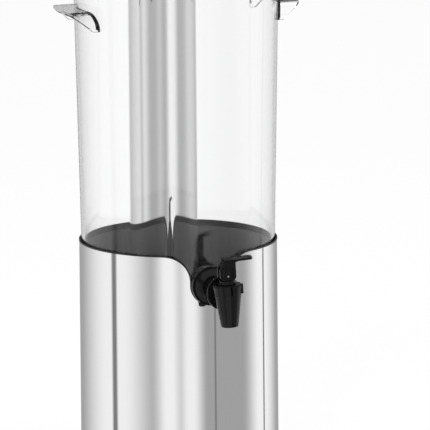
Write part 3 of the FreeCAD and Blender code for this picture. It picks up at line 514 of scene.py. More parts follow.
join_solid(tank, boss, spigot)
cut(tank, hole)
soften(tank, 0.0, sharper_than=30.0)
handle_left, handle_right = make_handle(-1), make_handle(1)
handle_left.name, handle_right.name = "left_carrying_handle", "right_carrying_handle"
tank_look = Look("clear_plastic")
tank_look.add("OutputMaterial", {}, {"Surface": make_clear_plastic(tank_look)})
handle_plastic = make_handle_plastic()
for piece, node, material in ((tank, "tank", tank_look.owner), (handle_left, "handle_left", handle_plastic),
                              (handle_right, "handle_right", handle_plastic)):
    dress(piece, material)
    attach(piece, "tank")
    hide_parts(node)


# ---- Tap body with its washers and nut: gloss black plastic, moulded.
# A threaded shank goes through the tank's wall. In front of it are a flange, a thinner neck with a
# round guard, and the conical spout. The tap is turned three degrees on its shank.

def make_gloss_plastic():
    look = Look("gloss_black_plastic")
    cloud = look.noise(9.0, 3.0)
    grain = look.noise(1.6, 2.0)
    colour = look.tint(cloud, (0.003, 0.003, 0.0035), (0.006, 0.006, 0.0065))
    return look.finish({"Base Color": colour, "Roughness": look.spread(cloud, 0.3, 0.7, 0.05, 0.09),
                        "IOR": 1.30, "Normal": look.bump(grain, 0.006)})


TAP_REACH, TAP_LEAN = 162.5, -3.0


def set_tap(piece):
    """Moves a piece from the crossing of shank and spout at the origin to its place on the tank."""
    alone(piece)
    piece.rotation_euler = (0, math.radians(TAP_LEAN), 0)
    piece.location = (0, -TAP_REACH * MM, TAP_Z * MM)
    bpy.ops.object.transform_apply(location=True, rotation=True, scale=True)
    return piece


SHANK_R, THREAD_R, GUARD_R = 9.3, 8.0, 18.2
GUARD_FRONT, GUARD_BACK = 13.4, 16.2
FLANGE_FACE, FLANGE_R = TAP_REACH - 107.2, 20.8
SPOUT_TOP_R, SPOUT_TOP, SPOUT_END_R, SPOUT_END = 15.4, 10.8, 9.3, -33.0
CHAMBER_R, SEAT, OUTLET_R, INLET_R = 12.6, -12.0, 6.5, 5.5
step, hub = FLANGE_FACE - 2.4, FLANGE_FACE - 4.1
thread = []
for turn_number in range(20):
    y = FLANGE_FACE + 2.8 + turn_number * 1.1
    thread += [(y, THREAD_R), (y + 0.5, THREAD_R - 0.45)]
shank = turn_level("shank", [
    (0, 0), (0, SHANK_R - 0.3), (GUARD_FRONT - 0.3, SHANK_R - 0.3), (GUARD_FRONT, GUARD_R - 0.5),
    (GUARD_FRONT + 0.5, GUARD_R), (GUARD_BACK - 1.2, GUARD_R), (GUARD_BACK, GUARD_R - 1.6),
    (GUARD_BACK, SHANK_R + 1.0), (GUARD_BACK + 6, SHANK_R + 1.0), (GUARD_BACK + 6.4, SHANK_R),
    (hub - 5.8, SHANK_R), (hub - 5.4, 12.0), (hub - 3.4, 12.0), (hub - 0.4, 16.4), (hub, 18.3),
    (hub + 0.3, 18.6), (step, 18.6), (step, FLANGE_R - 0.8), (step + 0.6, FLANGE_R),
    (FLANGE_FACE - 0.3, FLANGE_R), (FLANGE_FACE, FLANGE_R - 0.3), (FLANGE_FACE, THREAD_R), *thread,
    (TAP_REACH - 82.6, THREAD_R), (TAP_REACH - 82.1, THREAD_R - 0.5), (TAP_REACH - 82.1, 0)], 112)
spout = turn("tap_spout_and_shank", [
    (0, SPOUT_END), (SPOUT_END_R - 1.0, SPOUT_END), (SPOUT_END_R - 0.3, SPOUT_END + 0.35),
    (SPOUT_END_R, SPOUT_END + 1.2), (SPOUT_TOP_R - 0.05, SPOUT_TOP - 0.4), (SPOUT_TOP_R - 0.4, SPOUT_TOP),
    (0, SPOUT_TOP)], 128)
chamber = turn("chamber", [
    (0, SPOUT_END - 1), (OUTLET_R + 1.0, SPOUT_END - 1), (OUTLET_R, SPOUT_END + 8), (OUTLET_R, SEAT),
    (CHAMBER_R - 1.6, SEAT), (CHAMBER_R, 4.5), (CHAMBER_R, SPOUT_TOP + 1), (0, SPOUT_TOP + 1)], 96)
bore = turn_level("bore", [(0, 0), (0, INLET_R), (TAP_REACH - 80, INLET_R), (TAP_REACH - 80, 0)], 48)
join_solid(spout, shank)
cut(spout, chamber, bore)

KEY_TURNS, KEY_HALF, KEY_LOW, KEY_IN, KEY_R, NOTCH_R = (-18.5, -108.5), 3.5, 1.9, 10.6, 16.3, 18.3


def key_bar(name, low_side, high_side, reach, low, high, angle):
    """A bar that points outwards from the tap's axis at the given angle."""
    bar = prism(name, [(KEY_IN, -low_side), (reach, -low_side), (reach, high_side), (KEY_IN, high_side)],
                lambda x, y: (x, y, low), (0, 0, high - low))
    alone(bar)
    bar.rotation_euler = (0, 0, math.radians(angle))
    bpy.ops.object.transform_apply(location=False, rotation=True, scale=False)
    return bar


for angle in KEY_TURNS:
    cut(spout, key_bar("notch", KEY_HALF + 0.3, KEY_HALF + 1.5, NOTCH_R, KEY_LOW - 0.3, SPOUT_TOP + 1, angle))
tap_body = set_tap(soften(spout, 0.22, 2, 35.0))
gloss_plastic = make_gloss_plastic()
dress(tap_body, gloss_plastic)
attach(tap_body, "tank")
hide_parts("tap_body")

WASHER_HOLE, INNER_R, INNER_FACE = 8.6, 17.0, TAP_REACH - 95
washer = turn_level("tap_outer_washer", [
    (FLANGE_FACE + 0.02, WASHER_HOLE), (FLANGE_FACE + 0.02, FLANGE_R - 0.6), (FLANGE_FACE + 0.6, FLANGE_R),
    (FLANGE_FACE + 2.2, FLANGE_R), (FLANGE_FACE + 2.78, FLANGE_R - 0.6), (FLANGE_FACE + 2.78, WASHER_HOLE),
    (FLANGE_FACE + 0.02, WASHER_HOLE)], 96)
inner_washer = turn_level("tap_inner_washer", [
    (INNER_FACE + 0.02, WASHER_HOLE), (INNER_FACE + 0.02, INNER_R - 0.4), (INNER_FACE + 0.4, INNER_R),
    (INNER_FACE + 2.0, INNER_R), (INNER_FACE + 2.38, INNER_R - 0.4), (INNER_FACE + 2.38, WASHER_HOLE),
    (INNER_FACE + 0.02, WASHER_HOLE)], 96)


def make_silicone():
    look = Look("black_silicone")
    cloud = look.noise(4.0, 3.0)
    colour = look.tint(cloud, (0.016, 0.016, 0.017), (0.030, 0.030, 0.031))
    return look.finish({"Base Color": colour, "Roughness": look.spread(cloud, 0.3, 0.7, 0.38, 0.52),
                        "Normal": look.bump(look.noise(0.4, 2.0), 0.01)})


silicone = make_silicone()
for piece, node in ((washer, "tap_washer_outer"), (inner_washer, "tap_washer_inner")):
    set_tap(soften(piece, 0.0))
    dress(piece, silicone)
    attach(piece, "tank")
    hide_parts(node)

NUT_R, NUT_FACE, NUT_T = 15.5, TAP_REACH - 92.6, 8.0
nut = prism("tap_lock_nut", [(NUT_R * math.cos(math.radians(a)), NUT_R * math.sin(math.radians(a)))
                             for a in range(0, 360, 60)],
            lambda x, z: (x, NUT_FACE + 0.02, z), (0, NUT_T - 0.02, 0))
nut_hole = turn_level("nut_hole", [
    (NUT_FACE - 2, 0), (NUT_FACE - 2, THREAD_R + 0.1), (NUT_FACE + 12, THREAD_R + 0.1),
    (NUT_FACE + 12, 0)], 48)
nut_cone = turn_level("nut_cone", [
    (NUT_FACE - 1, 0), (NUT_FACE - 1, 17), (NUT_FACE + 6, 17), (NUT_FACE + 9, 12.2), (NUT_FACE + 9, 0)], 64)
join_solid(nut, nut_cone, how="INTERSECT")
cut(nut, nut_hole)
set_tap(soften(nut, 0.3, 2, 25.0))
dress(nut, satin_plastic)
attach(nut, "tank")
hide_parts("tap_nut")


# ---- Tap bonnet and swivel ring: gloss black plastic.
# The bonnet drops into the top of the tap body and is held by two keys in the body's notches. The
# lever stands on the swivel ring and can be turned all the way round.

BONNET_R, BONNET_TOP, PLUG_R, PLUG_LOW = 14.6, 12.0, 12.45, 6.4
STEM_R, STEM_HOLE = 2.4, 2.48
bonnet = turn("tap_bonnet_cap", [
    (0, PLUG_LOW), (PLUG_R, PLUG_LOW), (PLUG_R, SPOUT_TOP + 0.01), (BONNET_R - 0.2, SPOUT_TOP + 0.01),
    (BONNET_R, SPOUT_TOP + 0.2), (BONNET_R, BONNET_TOP - 0.5), (BONNET_R - 0.5, BONNET_TOP), (0, BONNET_TOP)],
    112)
for angle in KEY_TURNS:
    key = key_bar("key", KEY_HALF, KEY_HALF, KEY_R, KEY_LOW, BONNET_TOP - 0.8, angle)
    inside = turn("inside", [(0, KEY_LOW - 1), (PLUG_R - 1.5, KEY_LOW - 1), (PLUG_R - 1.5, PLUG_LOW),
                             (0, PLUG_LOW)], 96)
    join_solid(bonnet, cut(key, inside))
cut(bonnet,
    turn("stem_hole", [(0, 0), (STEM_HOLE, 0), (STEM_HOLE, 20), (0, 20)], 32),
    prism("guard_flat", [(-30, GUARD_FRONT - 0.15), (30, GUARD_FRONT - 0.15), (30, 30), (-30, 30)],
          lambda x, y: (x, y, SPOUT_TOP), (0, 0, 5)))
set_tap(soften(bonnet, 0.18, 2, 35.0))
dress(bonnet, gloss_plastic)
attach(bonnet, "tank")
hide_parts("tap_bonnet")

SWIVEL_TOP, SWIVEL_FOOT_R, SWIVEL_R = 16.0, 9.3, 8.3
swivel = turn("tap_swivel_ring", [
    (STEM_HOLE, BONNET_TOP + 0.02), (SWIVEL_FOOT_R - 0.2, BONNET_TOP + 0.02),
    (SWIVEL_FOOT_R, BONNET_TOP + 0.2), (SWIVEL_FOOT_R, BONNET_TOP + 1.3),
    (SWIVEL_FOOT_R - 0.2, BONNET_TOP + 1.6), (SWIVEL_R, BONNET_TOP + 2.4), (SWIVEL_R, SWIVEL_TOP - 0.3),
    (SWIVEL_R - 0.3, SWIVEL_TOP), (STEM_HOLE, SWIVEL_TOP)], 96, closed=True)
set_tap(soften(swivel, 0.0))
dress(swivel, gloss_plastic)
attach(swivel, "swivel")
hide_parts("swivel_ring")


# ---- Valve: a steel stem with a cross pin at its top and a silicone cup at its foot.
# A coil spring of stainless wire pushes the cup down on its seat inside the tap body.

PIN_Z, PIN_R, CHEEK_OUT = 20.6, 1.0, 5.4
stem = turn("valve_stem_rod", [
    (0, -9.0), (4.2, -9.0), (4.2, -7.5), (STEM_R, -7.5), (STEM_R, PIN_Z + 1.6), (STEM_R - 0.7, PIN_Z + 2.4),
    (0, PIN_Z + 2.4)], 48)
pin = turn_level("lever_cross_pin", [
    (-CHEEK_OUT, 0), (-CHEEK_OUT, PIN_R - 0.25), (0.25 - CHEEK_OUT, PIN_R), (CHEEK_OUT - 0.25, PIN_R),
    (CHEEK_OUT, PIN_R - 0.25), (CHEEK_OUT, 0)], 32)
alone(pin)
pin.location = (0, 0, PIN_Z * MM)
bpy.ops.object.transform_apply(location=True, rotation=True, scale=True)
for piece, node in ((stem, "valve_stem"), (pin, "lever_pin")):
    set_tap(soften(piece, 0.0))
    dress(piece, machined_steel)
    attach(piece, "valve")
    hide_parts(node)
dress(solids["seat_cup"], silicone)
dress(solids["return_spring"], machined_steel)


# ---- Lever: gloss black plastic, moulded.
# Two cheeks with rounded corners straddle the stem and turn on its pin. Pressing the flat bar rolls
# the corners over the swivel ring, and that lifts the stem.

CHEEK_LOW, CHEEK_HALF, CHEEK_IN, CAM_R = 16.1, 8.6, 2.7, 4.5
HEAD_LOW, HEAD_SLANT = 31.1, 7.0
BAR_LOW, BAR_T, BAR_FALL, BAR_BACK, BAR_REACH, BAR_HALF, BAR_END_R = 35.8, 3.1, 0.9, 3.5, 28.0, 5.0, 3.5
RIB_DROP, RIB_RUN, RIB_HALF = 2.2, 7.0, 1.6
# Each cheek's outer face is recessed, and two upright half-round ribs stand in the recess.
PANEL = (-6.6, 5.2, 18.4, 30.2)
RIBS = ((-5.0, 1.5, 19.2, 29.4), (1.4, 2.3, 19.2, 26.0))
lever = prism("tap_lever_arm", [
    (-CHEEK_HALF, BAR_LOW - HEAD_SLANT), *arc((CAM_R - CHEEK_HALF, CHEEK_LOW + CAM_R), CAM_R, 180, 270, 8),
    *arc((CHEEK_HALF - CAM_R, CHEEK_LOW + CAM_R), CAM_R, 270, 360, 8),
    (CHEEK_HALF, BAR_LOW + 0.5), (-BAR_BACK, BAR_LOW + 0.5)],
    lambda x, z: (x, -CHEEK_OUT, z), (0, 2 * CHEEK_OUT, 0))
gap = prism("gap", [
    (-20, CHEEK_LOW - 2), (20, CHEEK_LOW - 2), (20, HEAD_LOW), (-20, HEAD_LOW)],
    lambda x, z: (x, -CHEEK_IN, z), (0, 2 * CHEEK_IN, 0))
bar = prism("bar", [
    (-BAR_HALF, BAR_LOW), (-BAR_HALF, BAR_LOW + BAR_T - BAR_FALL), (BAR_HALF, BAR_LOW + BAR_T),
    (BAR_HALF, BAR_LOW)],
    lambda y, z: (-BAR_BACK, y, z), (BAR_BACK + BAR_REACH, 0, 0))
end, half = BAR_REACH - BAR_END_R, BAR_HALF - BAR_END_R
around = prism("around", [
    (-BAR_BACK - 1, -BAR_HALF - 0.01), *arc((end, -half), BAR_END_R + 0.01, -90, 0, 8),
    *arc((end, half), BAR_END_R + 0.01, 0, 90, 8), (-BAR_BACK - 1, BAR_HALF + 0.01)],
    lambda x, y: (x, y, BAR_LOW - 1), (0, 0, BAR_T + 2))
join_solid(bar, around, how="INTERSECT")
rib = prism("rib", [
    (0, BAR_LOW + 0.5), (0, BAR_LOW), (CHEEK_HALF, BAR_LOW - RIB_DROP), (CHEEK_HALF + RIB_RUN, BAR_LOW),
    (CHEEK_HALF + RIB_RUN, BAR_LOW + 0.5)],
    lambda x, z: (x, -RIB_HALF, z), (0, 2 * RIB_HALF, 0))
join_solid(lever, bar, rib)
cut(lever, gap)
for side in (-1, 1):
    left, far, low, high = PANEL
    panel = prism("panel", [(left, low), (far, low), (far, high), (left, high)],
                  lambda x, z: (x, side * (CHEEK_OUT - 0.7), z), (0, side * 2, 0))
    cut(lever, panel)
    for x, r, low, high in RIBS:
        ridge = turn("ridge", [(0, low), (r - 0.3, low), (r, low + 0.4), (r, high - r * 0.6), (r * 0.7, high),
                               (0, high)], 40, (x, side * (CHEEK_OUT - 0.15 - r)))
        outside = prism("outside", [(-8, 2), (8, 2), (8, 8), (-8, 8)],
                        lambda x, y: (x, side * (y + CHEEK_OUT - 3.6), 15), (0, 0, 20))
        join_solid(ridge, outside, how="INTERSECT")
        join_solid(lever, ridge)
pin_hole = turn_level("pin_hole", [(-10, 0), (-10, PIN_R + 0.06), (10, PIN_R + 0.06), (10, 0)], 32)
pin_hole.location = (0, 0, PIN_Z * MM)
cut(lever, pin_hole)
set_tap(soften(lever, 0.4, 3, 30.0))
dress(lever, gloss_plastic)
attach(lever, "lever")
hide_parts("tap_lever")


# ---- Lid: a pressed stainless steel cover with a rolled-down skirt and a raised middle.
# A silicone ring fits inside the tank's rim. A gloss black knob is screwed on in front, and a black
# plastic collar sits in the hole for the ice tube.

LID_R, LID_T, LID_SKIRT, LID_TOP, LID_RISE = 110.96, 1.0, 13.0, 513.0, 3.0
KNOB_R, KNOB_H, KNOB_FRONT, SCREW_R = 16.0, 22.0, 46.0, 2.1
PANEL_R, PANEL_TOP, LID_ROUND = 91.96, 516.0, 3.0
lid = turn("lid_cover", [
    (0, PANEL_TOP - LID_T), (PANEL_R - 0.5, PANEL_TOP - LID_T), (PANEL_R + LID_RISE - 0.5, LID_TOP - LID_T),
    (LID_R - LID_ROUND, LID_TOP - LID_T + 0.02),
    *arc((LID_R - LID_ROUND, LID_TOP - LID_ROUND), LID_ROUND - LID_T, 80, 0, 5),
    (LID_R - LID_T, LID_TOP - LID_SKIRT + 0.3), (LID_R - LID_T / 2, LID_TOP - LID_SKIRT),
    (LID_R, LID_TOP - LID_SKIRT + 0.4), *arc((LID_R - LID_ROUND, LID_TOP - LID_ROUND), LID_ROUND, 0, 90, 8),
    (PANEL_R + LID_RISE + 1.2, LID_TOP), (PANEL_R + LID_RISE, LID_TOP + 0.3),
    (PANEL_R + 0.9, PANEL_TOP - 0.5), (PANEL_R - 0.3, PANEL_TOP), (0, PANEL_TOP)], 224)
neck_r = TUBE_R + 0.5 + 1.6
cut(lid,
    turn("neck_hole", [(0, 500), (neck_r + 0.05, 500), (neck_r + 0.05, 520), (0, 520)], 96, (0, TUBE_BACK)),
    turn("screw_hole", [(0, 500), (SCREW_R, 500), (SCREW_R, 520), (0, 520)], 32, (0, -KNOB_FRONT)))
soften(lid, 0.0)
dress(lid, polished_steel)
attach(lid, "lid")
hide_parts("lid")

COLLAR_LOW, COLLAR_TOP, COLLAR_R = 508.0, PANEL_TOP + 2.5, 42.5
collar = turn("ice_tube_collar", [
    (TUBE_R + 0.5, COLLAR_LOW + 0.4), (TUBE_R + 0.9, COLLAR_LOW), (neck_r - 0.4, COLLAR_LOW),
    (neck_r, COLLAR_LOW + 0.4), (neck_r, PANEL_TOP + 0.02), (COLLAR_R - 0.2, PANEL_TOP + 0.02),
    (COLLAR_R, PANEL_TOP + 0.3), (COLLAR_R, COLLAR_TOP - 0.8), (COLLAR_R - 0.8, COLLAR_TOP),
    (TUBE_R + 0.9, COLLAR_TOP), (TUBE_R + 0.5, COLLAR_TOP - 0.4)], 128, (0, TUBE_BACK), True)
soften(collar, 0.0)
dress(collar, satin_plastic)
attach(collar, "lid")
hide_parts("tube_collar")

neck_top = PANEL_TOP + 6.0
knob = turn("lid_knob_grip", [
    (SCREW_R, PANEL_TOP + 0.02), (9.6, PANEL_TOP + 0.02), (10.0, PANEL_TOP + 0.4),
    *arc((11.6, PANEL_TOP + 3.8), 3.6, 240, 150, 6), (8.6, neck_top + 0.4), (10.0, neck_top + 1.2),
    (13.0, neck_top + 1.5), *arc((KNOB_R - 2.0, neck_top + 3.5), 2.0, 270, 360, 6),
    *arc((KNOB_R - 4.0, PANEL_TOP + KNOB_H - 5.0), 4.0, 0, 70, 8),
    (8.0, PANEL_TOP + KNOB_H - 0.35), (0, PANEL_TOP + KNOB_H), (0, PANEL_TOP + 12),
    (SCREW_R, PANEL_TOP + 11)], 96, (0, -KNOB_FRONT), True)
soften(knob, 0.0, sharper_than=35.0)
dress(knob, gloss_plastic)
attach(knob, "lid")
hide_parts("lid_knob")
dress(solids["knob_screw"], machined_steel)
dress(solids["knob_washer"], machined_steel)
dress(solids["lid_seal"], silicone)


# ---- Ice tube: a polished stainless steel tube with a closed lower end, hung from the lid's collar
# by its flange. A silicone bumper covers its lower end.

TUBE_WALL, TUBE_LOW, TUBE_TOP, TUBE_FLANGE, NECK = 0.8, 164.5, 519.7, 6.0, 1.6
flange_r = TUBE_R + TUBE_FLANGE
tube = turn("ice_tube_shell", [
    (0, TUBE_LOW), (TUBE_R - NECK - 1, TUBE_LOW), (TUBE_R - NECK, TUBE_LOW + 1),
    (TUBE_R - NECK, TUBE_LOW + 6.02), (TUBE_R, TUBE_LOW + 6 + NECK), (TUBE_R, COLLAR_TOP + 0.02),
    (flange_r - 0.4, COLLAR_TOP + 0.02), (flange_r, COLLAR_TOP + 0.3), (flange_r, TUBE_TOP - 0.3),
    (flange_r - 0.4, TUBE_TOP - 0.02),
    (TUBE_R - TUBE_WALL + 0.8, TUBE_TOP - 0.02), (TUBE_R - TUBE_WALL, TUBE_TOP - 0.8),
    (TUBE_R - TUBE_WALL, TUBE_LOW + 8.2), (TUBE_R - TUBE_WALL - NECK, TUBE_LOW + 6.4),
    (TUBE_R - TUBE_WALL - NECK, TUBE_LOW + 1.8), (TUBE_R - NECK - 2, TUBE_LOW + 0.8), (0, TUBE_LOW + 0.8)],
    192, (0, TUBE_BACK))
soften(tube, 0.0)
round_walls(tube, (0, TUBE_BACK), (TUBE_R, TUBE_R - TUBE_WALL))
dress(tube, polished_steel)
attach(tube, "ice_tube")
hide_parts("ice_tube")
dress(solids["tube_bumper"], silicone)


# ---- Tube cap: a plug of satin black plastic, moulded in one piece with an upright grip.
# A silicone ring in a groove round the plug seals it in the ice tube.

CAP_TOP, CAP_R, CAP_PLUG_R, GRIP_HALF, GRIP_T, GRIP_H = 523.7, 42.0, 34.3, 22.0, 9.0, 15.0
plug_in = CAP_PLUG_R - 3.0
groove = TUBE_TOP - 6.0
cap = turn("ice_tube_cap", [
    (0, TUBE_TOP), (plug_in, TUBE_TOP), (plug_in, TUBE_TOP - 12), (CAP_PLUG_R - 0.6, TUBE_TOP - 12),
    (CAP_PLUG_R, TUBE_TOP - 11.4), (CAP_PLUG_R, groove - 1), (CAP_PLUG_R - 1, groove - 1),
    (CAP_PLUG_R - 1, groove + 1), (CAP_PLUG_R, groove + 1), (CAP_PLUG_R, TUBE_TOP + 0.02),
    (CAP_R - 0.6, TUBE_TOP + 0.02), (CAP_R, TUBE_TOP + 0.6), (CAP_R, CAP_TOP - 1.5),
    *arc((CAP_R - 1.5, CAP_TOP - 1.5), 1.5, 15, 90, 5), (CAP_R - 4.6, CAP_TOP), (CAP_R - 5, CAP_TOP - 0.4),
    (CAP_R - 6.6, CAP_TOP - 0.4), (CAP_R - 7, CAP_TOP), (0, CAP_TOP)], 128, (0, TUBE_BACK))
grip = prism("grip", [
    (-GRIP_HALF, CAP_TOP - 1), *arc((-GRIP_HALF + GRIP_T, CAP_TOP + GRIP_H - GRIP_T), GRIP_T, 180, 90, 8),
    *arc((GRIP_HALF - GRIP_T, CAP_TOP + GRIP_H - GRIP_T), GRIP_T, 90, 0, 8), (GRIP_HALF, CAP_TOP - 1)],
    lambda x, z: (x, TUBE_BACK - GRIP_T / 2, z), (0, GRIP_T, 0))
soften(grip, 1.6, 4, 40.0)
join_solid(cap, grip)
soften(cap, 0.25, 2, 40.0)
dress(cap, satin_plastic)
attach(cap, "tube_cap")
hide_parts("tube_cap")
dress(solids["cap_seal"], silicone)


# ---- Drip tray and grid: pressed stainless steel. The tray pulls out forwards for washing.
# It stands on four rubber feet. The grid has rows of slits and drops inside the tray's wall.

TRAY_HALF, TRAY_BACK, TRAY_FRONT, TRAY_LOW, TRAY_TOP = 62.0, 106.2, 200.2, 3.2, 12.0
TRAY_CORNER, TRAY_WALL, GRID_TOP = 30.0, 1.2, 11.2


def tray_block(name, inset, low, high):
    """A block with the tray's rounded outline, moved inwards by inset."""
    x, back, front, r = TRAY_HALF - inset, -TRAY_BACK - inset, -TRAY_FRONT + inset, TRAY_CORNER - inset
    outline = [*arc((x - r, back - r), r, 0, 90, 10), *arc((r - x, back - r), r, 90, 180, 10),
               *arc((r - x, front + r), r, 180, 270, 10), *arc((x - r, front + r), r, 270, 360, 10)]
    return prism(name, outline, lambda x, y: (x, y, low), (0, 0, high - low))


tray = cut(tray_block("drip_tray_pan", 0.0, TRAY_LOW, TRAY_TOP),
           tray_block("pan_inside", TRAY_WALL, TRAY_LOW + TRAY_WALL, TRAY_TOP + 5))
soften(tray, 0.4, 3)
grid_low = TRAY_LOW + TRAY_WALL
grid = cut(tray_block("drip_grid_plate", TRAY_WALL + 0.4, grid_low + 0.02, GRID_TOP),
           tray_block("grid_inside", TRAY_WALL + 1.6, grid_low - 3, GRID_TOP - 1.2))
SLIT_ROWS, SLIT_PITCH, SLIT_W, SLIT_HALF, COLUMN = 7, 10.0, 5.0, 41.0 / 3, 106.0 / 3
slits = None
for row in range(SLIT_ROWS):
    for column in (-1, 0, 1):
        x, y = column * COLUMN, -(TRAY_BACK + TRAY_FRONT) / 2 + (row - SLIT_ROWS // 2) * SLIT_PITCH
        end = SLIT_HALF - SLIT_W / 2
        ends = arc((x + end, y), SLIT_W / 2, -90, 90, 8) + arc((x - end, y), SLIT_W / 2, 90, 270, 8)
        slit = prism("slit", ends, lambda a, b: (a, b, GRID_TOP - 3), (0, 0, 6))
        if slits:
            bpy.ops.object.select_all(action="DESELECT")
            slit.select_set(True)
            slits.select_set(True)
            bpy.context.view_layer.objects.active = slits
            bpy.ops.object.join()
        else:
            slits = slit
cut(grid, slits)
soften(grid, 0.3, 2)
for piece, body, node in ((tray, "drip_tray", "drip_tray"), (grid, "drip_grid", "drip_grid")):
    dress(piece, polished_steel)
    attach(piece, body)
    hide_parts(node)
dress(solids["tray_feet"], rubber)


# ---- Studio: a pale floor, a white backdrop, softboxes with dark gaps between them, and the camera.
# Polished steel shows what is round it, so the softboxes stand all the way round the object.

VIEW_TURN, VIEW_RISE, VIEW_ROLL = math.radians(18.5), math.radians(11.0), math.radians(0.5)
to_camera = (-math.sin(VIEW_TURN), -math.cos(VIEW_TURN))
right = (math.cos(VIEW_TURN), -math.sin(VIEW_TURN))


def make_floor_paint():
    look = Look("studio_floor")
    rays = look.add("LightPath")
    cloud = look.noise(400.0, 2.0)
    colour = look.tint(cloud, (0.80, 0.80, 0.80), (0.84, 0.84, 0.84))
    paint = look.add("BsdfDiffuse", {}, {"Color": colour})
    white = look.add("Emission", {}, {"Color": (1, 1, 1, 1), "Strength": 1.0})
    seen = look.maths("MAXIMUM", rays.out("Is Camera Ray"), rays.out("Is Transmission Ray"))
    clear = look.add("BsdfTransparent", {}, {})
    pale = look.add("MixShader", {}, {0: 0.9 * seen, 1: paint, 2: white})
    mixed = look.add("MixShader", {}, {0: rays.out("Is Glossy Ray"), 1: pale, 2: clear})
    look.add("OutputMaterial", {}, {"Surface": mixed})
    return look.owner


bpy.ops.object.select_all(action="DESELECT")
bpy.ops.mesh.primitive_plane_add(size=6.0, location=(0, 0, 0))
floor = bpy.context.object
floor.name = "studio_floor"
dress(floor, make_floor_paint())

world = bpy.data.worlds.new("studio")
bpy.context.scene.world = world
sky = Look("studio", world)
heading = sky.add("TexCoord").out("Generated")
parts = sky.add("SeparateXYZ", {}, {"Vector": heading})
x, y, z = (parts.out(axis) for axis in "XYZ")
side = x * right[0] + y * right[1]
front = x * to_camera[0] + y * to_camera[1]
around = sky.maths("ARCTAN2", side, front) * math.degrees(1)


def between(low, low_edge, high, high_edge):
    """1 between two angles round the object, with soft edges of the given half-widths."""
    rise = sky.spread(around, low - low_edge, low + low_edge, how="SMOOTHSTEP")
    return rise * sky.spread(around, high + high_edge, high - high_edge, how="SMOOTHSTEP")


def light_walls(base, boxes, back, flags):
    """Tall softboxes on a dim wall, one box behind the object, and thin dark flags before them.

    Angles are in degrees from the camera. A box or flag is (start, its softness, end, its softness,
    brightness or the share of light held back). The box behind is (start, softness, brightness).
    """
    level = base
    for *edges, brightness in boxes:
        level = level + brightness * between(*edges)
    start, edge, brightness = back
    behind = sky.maths("ABSOLUTE", around)
    level = level + brightness * sky.spread(behind, start - edge, start + edge, how="SMOOTHSTEP")
    for *edges, share in flags:
        level = level * (1 - share * between(*edges))
    return level


BOXES = ((-125, 34, -44, 25, 0.56), (-24, 10, -2, 6, 0.57), (2, 10, 25, 9, 0.56), (94, 15, 139, 20, 0.58))
FLAGS = ((-84.5, 2, -77.5, 2, 0.77), (42, 0.8, 44, 0.8, 0.49), (116, 0.8, 118.8, 0.8, 0.80))
walls = light_walls(0.38, BOXES, (175, 6, 0.17), FLAGS)
# The ice tube stands farther back, so the boxes shift on it.
TUBE_BOXES = ((-125, 42, -52, 13, 0.38), (-19, 9, -3, 7, 0.15), (17, 10, 47, 12, 0.56),
              (84, 17, 135, 24, 0.25))
TUBE_FLAGS = ((-82, 6, -72, 6, 0.28),)
tube_walls = light_walls(0.46, TUBE_BOXES, (154, 14, 0.47), TUBE_FLAGS)
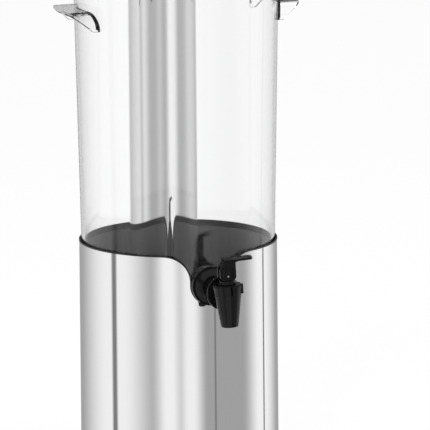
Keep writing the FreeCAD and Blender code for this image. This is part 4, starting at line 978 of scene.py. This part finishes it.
# Above them hangs a broad bright softbox in front. Seen through the clear plastic, it is dim there.
above = sky.spread(z, 0.34, 0.40) * sky.spread(z, 0.90, 0.84) * sky.spread(front, -0.15, 0.05)
rays = sky.add("LightPath")
mirrored = sky.maths("GREATER_THAN", rays.out("Glossy Depth"), 0.5)
scattered = sky.maths("GREATER_THAN", rays.out("Diffuse Depth"), 0.5)
passed = sky.maths("GREATER_THAN", rays.out("Transmission Depth"), 0.5)
OVERHEAD, FRONT_BOX, THROUGH_PLASTIC, ROOM = 0.24, 0.72, (0.14, 0.14, 0.14), (0.75, 0.75, 0.75)
lamps = sky.tint(passed, OVERHEAD + FRONT_BOX * above, THROUGH_PLASTIC)
walls = sky.tint(passed * mirrored, walls, tube_walls)
studio = sky.tint(sky.spread(z, 0.05, 0.16), walls, lamps)
white = (1.0, 1.0, 1.0)
glossy = sky.tint(mirrored, white, studio)
lit = sky.tint(scattered, glossy, ROOM)
sky.add("OutputWorld", {}, {"Surface": sky.add("Background", {}, {"Color": lit, "Strength": 1.0})})


def add_lamp(name, place, aim, size, watts):
    data = bpy.data.lights.new(name, "AREA")
    data.shape = "RECTANGLE"
    data.size, data.size_y = size
    data.energy = watts
    lamp = bpy.data.objects.new(name, data)
    bpy.context.scene.collection.objects.link(lamp)
    lamp.location = place
    lamp.rotation_euler = (Vector(aim) - Vector(place)).to_track_quat("-Z", "Y").to_euler()
    lamp.visible_glossy = False


add_lamp("key_softbox", (-1.3, -1.5, 2.0), (0, 0, 0.25), (1.0, 1.0), 22)
add_lamp("fill_softbox", (1.6, -0.9, 1.4), (0, 0, 0.2), (1.2, 1.2), 10)
add_lamp("top_softbox", (0.1, 0.3, 2.2), (0, 0, 0.3), (1.2, 0.8), 16)

# The camera stands far off with a long lens, so that upright edges stay nearly parallel.
SCALE, IMAGE_WIDTH, SENSOR = 1.046 * MM, 430, 36.0
DISTANCE, AIM_SIDE, AIM_HEIGHT = 14.0, 38.8 * MM, 242.9 * MM
aim = Vector((right[0] * AIM_SIDE, right[1] * AIM_SIDE, AIM_HEIGHT))
level = math.cos(VIEW_RISE)
toward = Vector((to_camera[0] * level, to_camera[1] * level, math.sin(VIEW_RISE)))
camera_data = bpy.data.cameras.new("camera")
camera_data.sensor_width = SENSOR
camera_data.lens = SENSOR * DISTANCE / (IMAGE_WIDTH * SCALE)
camera_data.clip_start, camera_data.clip_end = 1.0, 100.0
camera = bpy.data.objects.new("camera", camera_data)
bpy.context.scene.collection.objects.link(camera)
camera.location = aim + toward * DISTANCE
look_at = (-toward).to_track_quat("-Z", "Y").to_matrix().to_4x4()
camera.rotation_euler = (look_at @ Matrix.Rotation(-VIEW_ROLL, 4, "Z")).to_euler()
bpy.context.scene.camera = camera
bpy.context.scene.view_settings.view_transform = "Standard"
